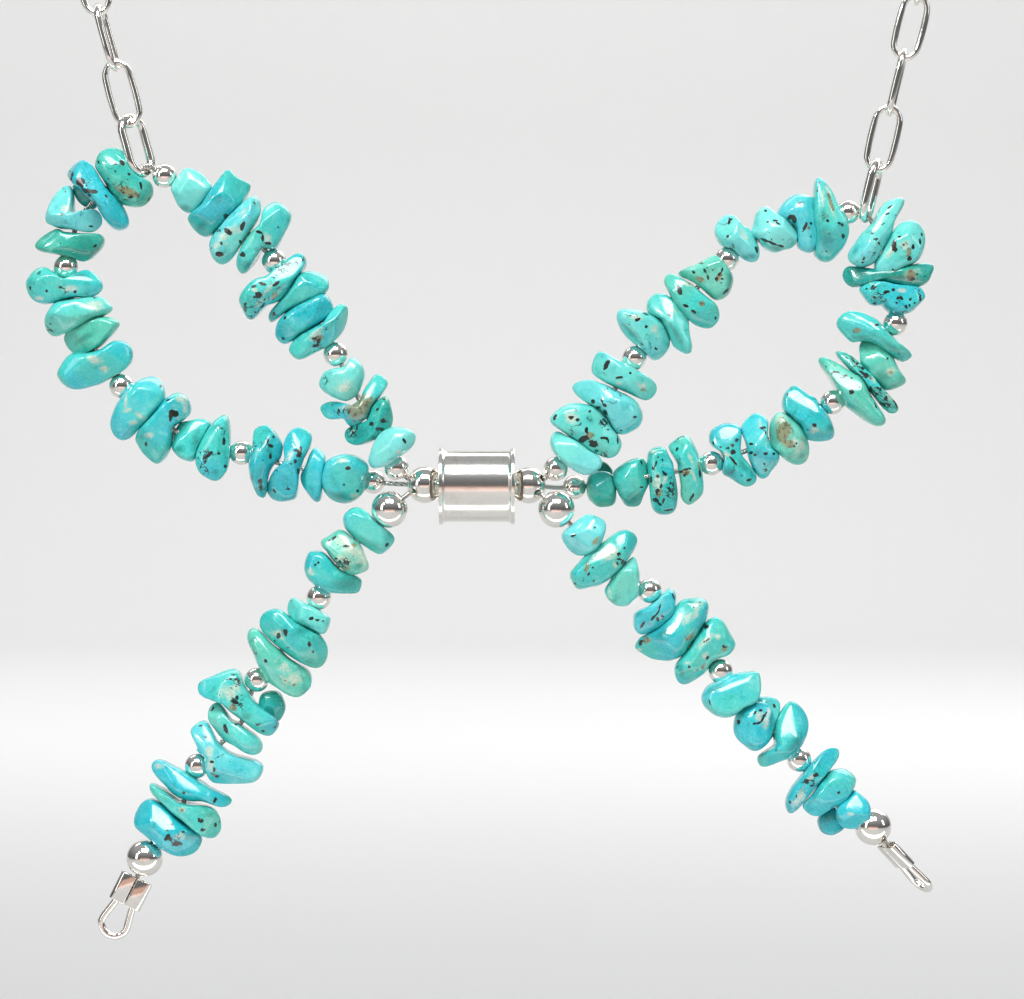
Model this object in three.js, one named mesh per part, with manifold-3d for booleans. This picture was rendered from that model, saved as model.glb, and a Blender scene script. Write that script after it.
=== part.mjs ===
// Beaded necklace: a bow of drilled turquoise chips and silver beads, gathered in a silver
// tube, hung from two oval rings on a silver link chain that closes at the nape.
//
// Millimetres, +Z up, +X to the right and the front of the bow towards -Y. The origin is the
// middle of the clasp, where the chain lies on the nape. Tables of the bow are in the bow's
// own frame: x and z from the centre of the tube, y backwards.

import * as THREE from 'three';
import { mergeVertices } from 'three/addons/utils/BufferGeometryUtils.js';
import Module from 'manifold-3d';

const wasm = await Module();
wasm.setup();

// ---- Driving dimensions -----------------------------------------------------------------

const pieceGap = 0.3;            // clearance left where one piece is cut round another
const hangPlay = 0.18;           // clearance where a ring hangs on the beading wire
const hangCut = 0.16;            // clearance cut round a ring in the run that it hangs on
const hookPlay = 0.3;            // clearance where links, rings and eyes hook into each other

const neckHalfWidth = 54;        // chain line at the widest part of the neck, from the middle
const bowForward = 96;           // from the nape to the plane of the bow
const bowDrop = 140;             // from the nape down to the centre of the tube
const bowOffset = -2.4;          // the tube sits a little left of the middle of the neck

const chainRise = 18;            // straight stretch where the chain leaves a ring

const threadRadius = 0.2;        // beading wire

const tube = { length: 6.15, body: 2.95, rim: 3.15, rimWidth: 0.5, bore: 2.55, sides: 16 };

const ring = { long: 5.4, wide: 3.2, wire: 0.7, aroundSteps: 10, sides: 6 };

const link = { pitch: 4.7, wide: 2.6, wire: 0.53, fuse: 0.2, aroundSteps: 6, sides: 4, roll: 80 };

const crimp = { long: 2.4, wide: 3.0, thick: 1.15, plate: 0.6, roll: 0.55, wire: 0.56 };
const crimpLoop = { reach: 5.2, feet: 0.8, belly: 1.03 };
const solder = 0.1;              // how far soldered wire runs into its neighbour

const clasp = { long: 9, radius: 2, shoulder: 1.1, taper: 1.4, sides: 12 };
const claspEye = { radius: 1.1, wire: 0.7, sides: 6, aroundSteps: 10 };

const beadFacets = { round: 8, across: 5 };
const chipFacets = { round: 6, along: 5 };
const threadFacets = { round: 4, along: 5 };
const crimpFacets = { round: 6, along: 10, fold: 3 };

// Route of one side of the chain from the nape forwards, as shares of neckHalfWidth,
// bowForward and bowDrop. It lies round the neck and then falls over the collarbone.
const neckRoute = [
  { across: 0.56, forward: 0.09, down: 0.02 },
  { across: 0.93, forward: 0.34, down: 0.085 },
  { across: 1.00, forward: 0.64, down: 0.20 },
  { across: 0.87, forward: 0.87, down: 0.385 },
  { across: 0.70, forward: 0.98, down: 0.61 },
];

// Where each ring hangs on the beading wire, how the chain leaves it (degrees from upright,
// away from the middle) and how far the ring is turned about its own length.
const hangs = {
  left: { x: -27.2, z: 25.95, lean: 15.4, turn: 54 },
  right: { x: 31.6, z: 22.25, lean: 13.7, turn: 72 },
};

// Ends of the tails: top of the crimp, its direction in the bow's plane (degrees from
// straight down, towards +X), how far it leans back and its roll about its own length.
const tailEnds = {
  left: { x: -27.6, z: -31.85, down: -26.6, back: 0, roll: 0 },
  right: { x: 33.27, z: -29.15, down: 43, back: 25, roll: 72 },
};

// Silver beads: x, y, z of the centre and diameter.
const beads = {
  tube_left: [-4.25, 0, 0.1, 3],
  tube_right: [4.2, 0, 0.05, 3],
  left_loop_1: [-6.5, -0.6, 1.45, 2],
  left_loop_2: [-11.5, 0, 10.7, 2],
  left_loop_3: [-16.5, 0, 18.25, 2],
  left_loop_4: [-25.4, 0, 25.2, 2],
  left_loop_5: [-33.4, 0, 17.8, 2],
  left_loop_6: [-28.9, 0, 8.1, 2],
  left_loop_7: [-19.2, 0.6, 2.7, 2],
  left_loop_8: [-8.5, 1.6, 0.35, 2],
  right_loop_1: [6.4, -0.6, 1.4, 2],
  right_loop_2: [12.8, 0, 10.4, 2],
  right_loop_3: [20.3, 0, 18.4, 2],
  right_loop_4: [30.15, 0.2, 22.25, 2],
  right_loop_5: [34.0, 0, 13.2, 2],
  right_loop_6: [28.9, 0, 6.8, 2],
  right_loop_7: [19.1, 0.6, 1.85, 2],
  right_loop_8: [7.95, 1.7, -0.1, 2],
  left_tail_1: [-7.05, -1.4, -1.9, 3],
  left_tail_2: [-12.8, -0.6, -9.05, 2],
  left_tail_3: [-17.9, 0, -15.75, 2],
  left_tail_4: [-22.75, 0, -22.75, 2],
  left_tail_5: [-27.0, 0, -30.25, 3],
  right_tail_1: [6.45, -1.4, -1.9, 3],
  right_tail_2: [14.0, -0.6, -8.5, 2],
  right_tail_3: [19.8, 0, -15.05, 2],
  right_tail_4: [26.2, 0, -22.25, 2],
  right_tail_5: [32.2, 0, -27.7, 3],
};

// Outlines of the chips. taper widens the far end, bend lifts both ends, belly swells one
// side, waist narrows the middle, and power runs from pointed (1.6) to square-ended (4).
const forms = {
  oval: { taper: 0, bend: 0, belly: 0, waist: 0, power: 2.3 },
  block: { taper: 0.06, bend: 0, belly: 0, waist: 0, power: 3 },
  slab: { taper: 0, bend: 0, belly: 0, waist: 0, power: 4.2 },
  lens: { taper: 0, bend: 0, belly: 0, waist: 0, power: 1.7 },
  pear: { taper: 0.32, bend: 0, belly: 0, waist: 0, power: 2.2 },
  wedge: { taper: 0.45, bend: 0, belly: 0, waist: 0, power: 3 },
  tooth: { taper: 0.5, bend: 0.25, belly: 0, waist: 0, power: 2.1 },
  bean: { taper: 0, bend: 0.4, belly: 0, waist: 0, power: 2.5 },
  elbow: { taper: 0, bend: 0.9, belly: 0, waist: 0, power: 2.5 },
  moon: { taper: 0, bend: -0.15, belly: 0.35, waist: 0, power: 2.3 },
  saddle: { taper: 0, bend: 0, belly: 0, waist: 0.3, power: 2.8 },
};

// Runs of chips between two beads. Each chip: x, z, long, wide, deep, tilt (degrees from +X
// towards +Z) and form. A chip takes its y from the two beads of its run.
const chipRuns = {
  left_loop_1: [
    [-6.9, 3.05, 4.6, 2.2, 3.4, 35, 'oval'],
    [-8.7, 5.2, 5.0, 2.2, 3.8, 42, 'block'],
    [-10.0, 7.0, 5.7, 2.0, 3.6, 27, 'bean'],
    [-10.95, 8.6, 3.6, 3.0, 3.2, 20, 'block'],
  ],
  left_loop_2: [
    [-12.9, 12.4, 5.7, 2.1, 3.6, 40, 'oval'],
    [-14.0, 13.7, 5.8, 2.2, 4.0, 38, 'block'],
    [-14.6, 15.4, 5.9, 1.9, 3.4, 40, 'pear'],
    [-16.6, 16.2, 6.6, 2.1, 4.2, 48, 'saddle'],
  ],
  left_loop_3: [
    [-17.4, 20.2, 6.3, 2.1, 4.0, 62, 'saddle'],
    [-19.6, 20.85, 6.2, 2.2, 3.6, 58, 'oval'],
    [-20.9, 23.0, 5.5, 2.4, 4.2, 52, 'slab'],
    [-23.2, 24.1, 3.7, 2.5, 3.2, 50, 'block'],
  ],
  left_loop_4: [
    [-28.75, 25.0, 5.2, 2.9, 3.8, -50, 'oval'],
    [-31.0, 23.6, 6.4, 2.1, 4.0, -50, 'oval'],
    [-32.8, 22.3, 4.6, 2.8, 3.4, 170, 'elbow'],
    [-33.0, 19.8, 5.5, 2.1, 3.8, 175, 'moon'],
  ],
  left_loop_5: [
    [-33.5, 16.2, 6.3, 2.5, 4.0, -5, 'bean'],
    [-32.3, 13.9, 5.4, 2.1, 3.6, 202, 'pear'],
    [-31.3, 12.2, 4.9, 1.9, 3.4, 28, 'lens'],
    [-31.0, 9.95, 6.3, 2.6, 4.2, 22, 'bean'],
  ],
  left_loop_6: [
    [-27.5, 6.2, 5.5, 2.7, 3.8, 58, 'oval'],
    [-25.6, 4.6, 6.1, 2.4, 4.0, 65, 'bean'],
    [-23.3, 3.7, 3.6, 2.5, 3.4, 70, 'wedge'],
    [-21.5, 3.1, 5.2, 2.4, 3.8, 258, 'pear'],
  ],
  left_loop_7: [
    [-17.3, 2.0, 5.8, 2.3, 3.8, -85, 'block'],
    [-15.3, 1.8, 5.9, 2.2, 4.0, 72, 'saddle'],
    [-13.4, 0.9, 4.2, 1.8, 3.2, 85, 'lens'],
    [-10.9, 0.6, 3.7, 3.6, 3.4, 0, 'oval'],
  ],
  right_loop_1: [
    [7.95, 2.8, 4.6, 2.1, 3.2, -36, 'oval'],
    [8.8, 4.5, 6.4, 2.7, 4.0, -30, 'bean'],
    [10.6, 6.5, 6.5, 2.6, 4.2, -33, 'block'],
    [12.0, 8.9, 5.8, 2.1, 3.6, 150, 'pear'],
  ],
  right_loop_2: [
    [13.6, 12.3, 5.1, 2.7, 3.6, -45, 'pear'],
    [15.6, 13.3, 5.6, 1.9, 3.8, -57, 'oval'],
    [17.4, 15.1, 5.8, 2.1, 3.6, -47, 'bean'],
    [18.7, 16.9, 4.4, 3.0, 3.4, -12, 'wedge'],
  ],
  right_loop_3: [
    [21.2, 20.15, 4.6, 2.3, 3.4, -50, 'saddle'],
    [24.1, 20.8, 3.7, 3.4, 3.4, -80, 'wedge'],
    [26.1, 21.4, 4.8, 2.2, 3.8, -72, 'moon'],
    [28.6, 21.6, 6.8, 2.1, 4.2, -75, 'tooth'],
  ],
  right_loop_4: [
    [32.4, 20.5, 6.4, 1.9, 4.0, 53, 'pear'],
    [34.35, 19.2, 5.3, 2.5, 3.6, 55, 'oval'],
    [33.5, 17.3, 7.3, 1.9, 4.2, 3, 'block'],
    [33.75, 15.5, 5.3, 2.2, 3.6, 174, 'moon'],
  ],
  right_loop_5: [
    [32.4, 11.9, 7.2, 2.0, 3.8, 143, 'tooth'],
    [33.0, 9.9, 4.8, 2.2, 3.4, -50, 'oval'],
    [31.7, 8.5, 6.7, 1.4, 3.6, -45, 'block'],
    [30.5, 7.8, 7.1, 2.0, 4.0, -46, 'oval'],
  ],
  right_loop_6: [
    [26.9, 5.8, 5.6, 2.5, 3.8, -45, 'lens'],
    [25.4, 3.9, 4.7, 2.4, 3.4, -58, 'block'],
    [23.0, 3.3, 5.2, 2.3, 3.8, -66, 'bean'],
    [20.95, 2.6, 5.2, 2.1, 3.6, -60, 'oval'],
  ],
  right_loop_7: [
    [17.1, 1.3, 5.6, 2.1, 3.8, -78, 'saddle'],
    [15.1, 0.45, 5.3, 2.0, 3.6, -87, 'slab'],
    [12.6, 0.3, 3.9, 2.6, 3.2, 95, 'wedge'],
    [10.2, -0.2, 3.6, 2.1, 3.0, -88, 'oval'],
  ],
  left_tail_1: [
    [-8.8, -3.65, 4.9, 1.8, 3.4, -38, 'slab'],
    [-10.55, -5.3, 4.6, 2.6, 3.6, -40, 'block'],
    [-11.6, -6.95, 5.2, 2.5, 3.8, -25, 'bean'],
  ],
  left_tail_2: [
    [-13.55, -10.55, 3.9, 1.8, 3.2, -26, 'slab'],
    [-14.5, -12.8, 5.9, 2.4, 3.8, -38, 'oval'],
    [-15.9, -14.7, 6.3, 2.4, 4.0, -46, 'pear'],
  ],
  left_tail_3: [
    [-19.4, -17.6, 7.5, 2.6, 4.2, -38, 'moon'],
    [-19.65, -19.7, 5.6, 1.9, 3.6, -42, 'oval'],
    [-20.5, -21.9, 6.7, 2.3, 4.0, -32, 'elbow'],
  ],
  left_tail_4: [
    [-23.3, -24.2, 6.9, 2.0, 3.8, -30, 'oval'],
    [-23.6, -26.2, 7.0, 2.2, 4.0, -38, 'pear'],
    [-25.2, -27.6, 6.4, 2.9, 4.2, -38, 'oval'],
  ],
  right_tail_1: [
    [8.65, -3.95, 3.9, 2.6, 3.4, 33, 'oval'],
    [10.25, -6.0, 6.8, 2.5, 4.0, 42, 'block'],
    [11.8, -7.65, 4.3, 2.2, 3.4, 248, 'pear'],
  ],
  right_tail_2: [
    [14.45, -10.3, 4.8, 1.8, 3.4, 48, 'oval'],
    [15.9, -11.8, 6.7, 2.9, 4.0, 40, 'bean'],
    [18.4, -13.4, 6.2, 2.4, 3.8, 52, 'block'],
  ],
  right_tail_3: [
    [20.8, -17.0, 5.6, 2.6, 3.8, 32, 'block'],
    [22.45, -19.5, 3.8, 2.9, 3.4, 75, 'oval'],
    [25.1, -20.0, 5.9, 2.3, 3.8, 58, 'tooth'],
  ],
  right_tail_4: [
    [27.35, -24.0, 6.5, 1.2, 3.2, 53, 'slab'],
    [28.75, -24.9, 4.7, 2.7, 3.6, 45, 'oval'],
    [30.1, -26.4, 4.6, 2.4, 3.6, 40, 'saddle'],
  ],
};

// ---- Materials --------------------------------------------------------------------------

const silverColour = '#d8d4cc';
const stoneColours = ['#4fc3c4', '#62cbbb', '#58b9a9', '#41b3b8'];

function silver() {
  return new THREE.MeshStandardMaterial({ color: silverColour, roughness: 0.15, metalness: 1 });
}

function stone(index) {
  const color = stoneColours[index % stoneColours.length];
  return new THREE.MeshStandardMaterial({ color, roughness: 0.3, metalness: 0 });
}

// ---- Solids -----------------------------------------------------------------------------

const radians = THREE.MathUtils.degToRad;

function solidOf(geometry) {
  const bare = geometry.clone();
  bare.deleteAttribute('normal');
  bare.deleteAttribute('uv');
  const merged = mergeVertices(bare, 1e-4);
  return new wasm.Manifold(new wasm.Mesh({
    numProp: 3,
    vertProperties: new Float32Array(merged.attributes.position.array),
    triVerts: new Uint32Array(merged.index.array),
  }));
}

function geometryOf(solid) {
  const mesh = solid.getMesh();
  const geometry = new THREE.BufferGeometry();
  geometry.setAttribute('position', new THREE.BufferAttribute(mesh.vertProperties, 3));
  geometry.setIndex(new THREE.BufferAttribute(mesh.triVerts, 1));
  geometry.computeVertexNormals();
  return geometry;
}

function joined(solids) {
  return solids.reduce((whole, next) => whole.add(next));
}

// The main body of a cut piece, without the crumbs that a cut leaves.
function largest(solid) {
  return solid.decompose().reduce((most, next) => (next.volume() > most.volume() ? next : most));
}

function placed(name, geometry, material) {
  const mesh = new THREE.Mesh(geometry, material);
  mesh.name = name;
  return mesh;
}

function circle(radius) {
  return new THREE.Shape().absarc(0, 0, radius, 0, 2 * Math.PI);
}

// A round wire along a curve.
function wireAlong(curve, radius, facets) {
  return new THREE.ExtrudeGeometry(circle(radius), {
    extrudePath: curve, steps: facets.along, curveSegments: facets.round / 2, bevelEnabled: false,
  });
}

// A closed oval of wire in the XZ plane, its length along Z.
function wireOval(long, wide, wire, aroundSteps, sides) {
  const oval = new THREE.TorusGeometry((wide - wire) / 2, wire / 2, sides, aroundSteps);
  const halfStraight = (long - wide) / 2;
  const position = oval.attributes.position;
  for (let i = 0; i < position.count; i++) {
    position.setX(i, position.getX(i) + Math.sign(position.getX(i)) * halfStraight);
  }
  return oval.rotateX(Math.PI / 2).rotateY(-Math.PI / 2);
}

// Stands a shape made along Z on a direction, with its -Y face turned towards `face`.
function standOn(geometry, centre, along, face) {
  const z = along.clone().normalize();
  const y = face.clone().negate();
  y.addScaledVector(z, -y.dot(z)).normalize();
  const x = new THREE.Vector3().crossVectors(y, z);
  return geometry.applyMatrix4(new THREE.Matrix4().makeBasis(x, y, z).setPosition(centre));
}

// ---- Beads and chips --------------------------------------------------------------------

function beadGeometry([x, y, z, diameter], grow = 0) {
  const ball = new THREE.SphereGeometry(diameter / 2 + grow, beadFacets.round, beadFacets.across);
  return ball.translate(x, y, z);
}

// A tumbled chip: a ball with its poles along X, reshaped to its outline, then tilted in
// the bow's plane.
function chipGeometry([x, z, long, wide, deep, tilt, form], y) {
  const shape = forms[form];
  const chip = new THREE.SphereGeometry(1, chipFacets.round, chipFacets.along);
  chip.rotateZ(-Math.PI / 2);
  const position = chip.attributes.position;
  const point = new THREE.Vector3();
  for (let i = 0; i < position.count; i++) {
    point.fromBufferAttribute(position, i);
    const u = THREE.MathUtils.clamp(point.x, -1, 1);
    const round = Math.hypot(point.y, point.z);
    const full = (1 - Math.abs(u) ** shape.power) ** (1 / shape.power);
    const swell = round > 1e-6 ? full / round : 0;
    const width = (1 + shape.taper * u) * (1 - shape.waist * Math.exp(-9 * u * u));
    const rise = shape.bend * (u * u - 0.35) + shape.belly * (1 - u * u) * Math.max(point.z, 0);
    position.setXYZ(
      i,
      u * long / 2,
      point.y * swell * (1 + shape.taper * u / 2) * deep / 2,
      (point.z * swell * width + rise) * wide / 2,
    );
  }
  return chip.rotateY(-radians(tilt)).translate(x, y, z);
}

// The chips between two beads with the stretch of beading wire that they sit on.
function chipRun(rows, from, to, via, cutters) {
  const start = new THREE.Vector3(...from);
  const end = new THREE.Vector3(...to);
  const middle = new THREE.Vector3(0, (start.y + end.y) / 2, 0);
  for (const [x, z] of rows) {
    middle.x += x / rows.length;
    middle.z += z / rows.length;
  }
  const stops = via ? [start, via, middle, end] : [start, middle, end];
  const route = new THREE.CatmullRomCurve3(stops, false, 'catmullrom');
  const chips = rows.map((row, i) => {
    const share = (i + 1) / (rows.length + 1);
    return solidOf(chipGeometry(row, THREE.MathUtils.lerp(start.y, end.y, share)));
  });
  const thread = solidOf(wireAlong(route, threadRadius, threadFacets));
  let run = joined([thread, ...chips]);
  for (const cutter of cutters) {
    run = run.subtract(cutter);
  }
  return largest(run);
}

// ---- Silver parts -----------------------------------------------------------------------

// Tube with a raised rim at each end, its axis along X.
function tubeGeometry() {
  const half = tube.length / 2;
  const shoulder = half - tube.rimWidth;
  const profile = [
    [tube.bore, -half], [tube.rim, -half], [tube.rim, -shoulder], [tube.body, -shoulder],
    [tube.body, shoulder], [tube.rim, shoulder], [tube.rim, half], [tube.bore, half],
    [tube.bore, -half],
  ].map(([radius, height]) => new THREE.Vector2(radius, height));
  return new THREE.LatheGeometry(profile, tube.sides).rotateZ(-Math.PI / 2);
}

function chainDirection({ lean }, side) {
  const sign = side === 'left' ? -1 : 1;
  return new THREE.Vector3(sign * Math.sin(radians(lean)), 0, Math.cos(radians(lean)));
}

function ringGeometry(side, grow = 0) {
  const hang = hangs[side];
  const up = chainDirection(hang, side);
  const centre = new THREE.Vector3(hang.x, 0, hang.z).addScaledVector(up, ringRise);
  const face = new THREE.Vector3(0, -1, 0).applyAxisAngle(up, radians(hang.turn));
  const oval = wireOval(
    ring.long + 2 * grow, ring.wide + 2 * grow, ring.wire + 2 * grow, ring.aroundSteps, ring.sides,
  );
  return standOn(oval, centre, up, face);
}

// Folded crimp with a loop of wire soldered under it, hanging down from the origin.
function crimpSolid() {
  const halfWide = crimp.wide / 2 - crimp.roll;
  const halfPlate = crimp.plate / 2;
  const section = new THREE.Shape();
  const foot = Math.asin(halfPlate / (crimp.thick / 2));
  section.absarc(halfWide, 0, crimp.thick / 2, -Math.PI + foot, Math.PI - foot);
  section.absarc(-halfWide, 0, crimp.thick / 2, foot, 2 * Math.PI - foot);
  section.closePath();
  const body = new THREE.ExtrudeGeometry(section, {
    depth: crimp.long, curveSegments: crimpFacets.fold, bevelEnabled: false,
  }).translate(0, 0, -crimp.long);
  const turn = crimpLoop.reach - crimp.wire / 2;
  const loop = new THREE.CatmullRomCurve3([
    new THREE.Vector3(-crimpLoop.feet, 0, -crimp.long + 4 * solder),
    new THREE.Vector3(-crimpLoop.feet, 0, -crimp.long - solder),
    new THREE.Vector3(-crimpLoop.belly, 0, -turn + crimpLoop.belly),
    new THREE.Vector3(0, 0, -turn),
    new THREE.Vector3(crimpLoop.belly, 0, -turn + crimpLoop.belly),
    new THREE.Vector3(crimpLoop.feet, 0, -crimp.long - solder),
    new THREE.Vector3(crimpLoop.feet, 0, -crimp.long + 4 * solder),
  ]);
  return joined([solidOf(body), solidOf(wireAlong(loop, crimp.wire / 2, crimpFacets))]);
}

function crimpGeometry({ x, z, down, back, roll }) {
  const axis = new THREE.Vector3(Math.sin(radians(down)), 0, -Math.cos(radians(down)));
  axis.multiplyScalar(Math.cos(radians(back))).setY(Math.sin(radians(back)));
  const face = new THREE.Vector3(0, -1, 0);
  face.addScaledVector(axis, -face.dot(axis)).normalize().applyAxisAngle(axis, radians(roll));
  return standOn(geometryOf(crimpSolid()), new THREE.Vector3(x, 0, z), axis.negate(), face);
}

// Barrel clasp along X with an eye at each end.
function claspSolid() {
  const half = clasp.long / 2;
  const profile = [
    [0, -half], [clasp.shoulder, -half], [clasp.radius, -half + clasp.taper],
    [clasp.radius, half - clasp.taper], [clasp.shoulder, half], [0, half],
  ].map(([radius, height]) => new THREE.Vector2(radius, height));
  const barrel = new THREE.LatheGeometry(profile, clasp.sides).rotateZ(-Math.PI / 2);
  const eyes = [-1, 1].map((side) => {
    const eye = new THREE.TorusGeometry(
      claspEye.radius, claspEye.wire / 2, claspEye.sides, claspEye.aroundSteps,
    );
    const reach = half + claspEye.radius - solder;
    return solidOf(eye.rotateX(Math.PI / 2).translate(side * reach, 0, 0));
  });
  return joined([solidOf(barrel), ...eyes]);
}

// ---- Chain ------------------------------------------------------------------------------

// Ring centre above the beading wire that it hangs on, and the first link above that.
const ringRise = ring.long / 2 - ring.wire - threadRadius - hangPlay;
const linkLong = link.pitch + 2 * link.wire - link.fuse;
const linkHook = linkLong / 2 - link.wire - hookPlay;
const firstLink = ringRise + ring.long / 2 - ring.wire + linkHook;
const eyeEnd = clasp.long / 2 + 2 * claspEye.radius - solder - claspEye.wire / 2;
const lastLink = eyeEnd + linkHook;

function bowPoint(x, y, z) {
  return new THREE.Vector3(x + bowOffset, y - bowForward, z - bowDrop);
}

function chainRoute(side) {
  const sign = side === 'left' ? -1 : 1;
  const hang = hangs[side];
  const points = neckRoute.map(({ across, forward, down }) => new THREE.Vector3(
    sign * across * neckHalfWidth, -forward * bowForward, -down * bowDrop,
  ));
  const start = bowPoint(hang.x, 0, hang.z);
  const rising = start.clone().addScaledVector(chainDirection(hang, side), chainRise);
  const route = new THREE.CatmullRomCurve3(
    [start, rising, ...points.reverse(), new THREE.Vector3()], false, 'catmullrom',
  );
  route.arcLengthDivisions = 800;
  return route;
}

// The links of one side as two solids that hook into each other beside the neck.
function chainSolids(side) {
  const route = chainRoute(side);
  const length = route.getLength();
  const slack = link.fuse + hookPlay;
  const span = length - firstLink - lastLink + slack;
  const steps = Math.round(span / link.pitch);
  const pitch = span / steps;
  const half = Math.ceil(steps / 2);
  const solids = [[], []];
  const face = new THREE.Vector3(0, -1, 0);
  for (let i = 0; i <= steps; i++) {
    const behind = i >= half ? 1 : 0;
    const share = (firstLink + i * pitch - behind * slack) / length;
    const along = route.getTangentAt(share);
    face.addScaledVector(along, -face.dot(along)).normalize();
    const turned = face.clone().applyAxisAngle(along, radians(i % 2 ? link.roll : 0));
    const oval = wireOval(linkLong, link.wide, link.wire, link.aroundSteps, link.sides);
    solids[behind].push(solidOf(standOn(oval, route.getPointAt(share), along, turned)));
  }
  return solids.map(joined);
}

// ---- Assembly ---------------------------------------------------------------------------

const necklace = new THREE.Group();
const bow = new THREE.Group();
bow.position.copy(bowPoint(0, 0, 0));
necklace.add(bow);

bow.add(placed('centre_tube', tubeGeometry(), silver()));

for (const [name, bead] of Object.entries(beads)) {
  bow.add(placed(`bead_${name}`, beadGeometry(bead), silver()));
}

for (const side of ['left', 'right']) {
  bow.add(placed(`ring_${side}`, ringGeometry(side), silver()));
  bow.add(placed(`end_crimp_${side}`, crimpGeometry(tailEnds[side]), silver()));
}

Object.entries(chipRuns).forEach(([name, rows], index) => {
  const [side, strand, order] = name.split('_');
  const from = beads[name];
  const to = beads[`${side}_${strand}_${Number(order) + 1}`];
  const hung = strand === 'loop' && order === '4';
  const cutters = [from, to].map((bead) => solidOf(beadGeometry(bead, pieceGap)));
  if (hung) {
    cutters.push(solidOf(ringGeometry(side, hangCut)));
  }
  const via = hung ? new THREE.Vector3(hangs[side].x, 0, hangs[side].z) : null;
  const run = chipRun(rows, from.slice(0, 3), to.slice(0, 3), via, cutters);
  bow.add(placed(`chips_${name}`, geometryOf(run), stone(index)));
});

for (const side of ['left', 'right']) {
  const [front, neck] = chainSolids(side);
  necklace.add(placed(`chain_${side}_front`, geometryOf(front), silver()));
  necklace.add(placed(`chain_${side}_neck`, geometryOf(neck), silver()));
}

necklace.add(placed('clasp', geometryOf(claspSolid()), silver()));

export default necklace;
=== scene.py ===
from math import atan2, cos, hypot, pi, radians, sin
from random import Random

import bmesh
import bpy
from mathutils import Matrix, Vector, geometry, noise


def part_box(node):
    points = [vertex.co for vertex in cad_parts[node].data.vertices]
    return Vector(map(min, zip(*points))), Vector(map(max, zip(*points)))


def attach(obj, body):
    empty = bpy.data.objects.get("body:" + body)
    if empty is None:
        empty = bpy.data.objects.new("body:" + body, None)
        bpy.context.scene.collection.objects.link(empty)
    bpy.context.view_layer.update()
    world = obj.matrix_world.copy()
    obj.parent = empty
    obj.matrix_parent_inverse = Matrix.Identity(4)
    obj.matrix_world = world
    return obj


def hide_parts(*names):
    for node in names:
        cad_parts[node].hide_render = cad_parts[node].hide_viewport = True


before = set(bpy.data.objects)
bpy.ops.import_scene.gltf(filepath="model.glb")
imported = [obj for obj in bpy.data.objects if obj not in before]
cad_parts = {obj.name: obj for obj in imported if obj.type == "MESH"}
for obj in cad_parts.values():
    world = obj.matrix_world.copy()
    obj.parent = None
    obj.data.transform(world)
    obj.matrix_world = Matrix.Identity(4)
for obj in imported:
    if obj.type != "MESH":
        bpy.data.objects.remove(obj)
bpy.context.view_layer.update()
mm = 0.001
noise.seed_set(1)   # the same dents each time
front, sideways, upward = Vector((0, -1, 0)), Vector((1, 0, 0)), Vector((0, 0, 1))
signs = {"left": -1, "right": 1}

# Every piece is shaped in millimetres in the bow's own frame: x and z from the middle of the
# tube, y backwards. Chain and clasp use the nape instead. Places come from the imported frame.


def middle(node):
    low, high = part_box(node)
    return (low + high) / 2


def beadPlace(name):   # in the bow's millimetres
    return (middle("bead_" + name) - bowCentre) / mm


bowCentre = middle("centre_tube")
nape = Vector((0, 0, 0))


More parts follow.
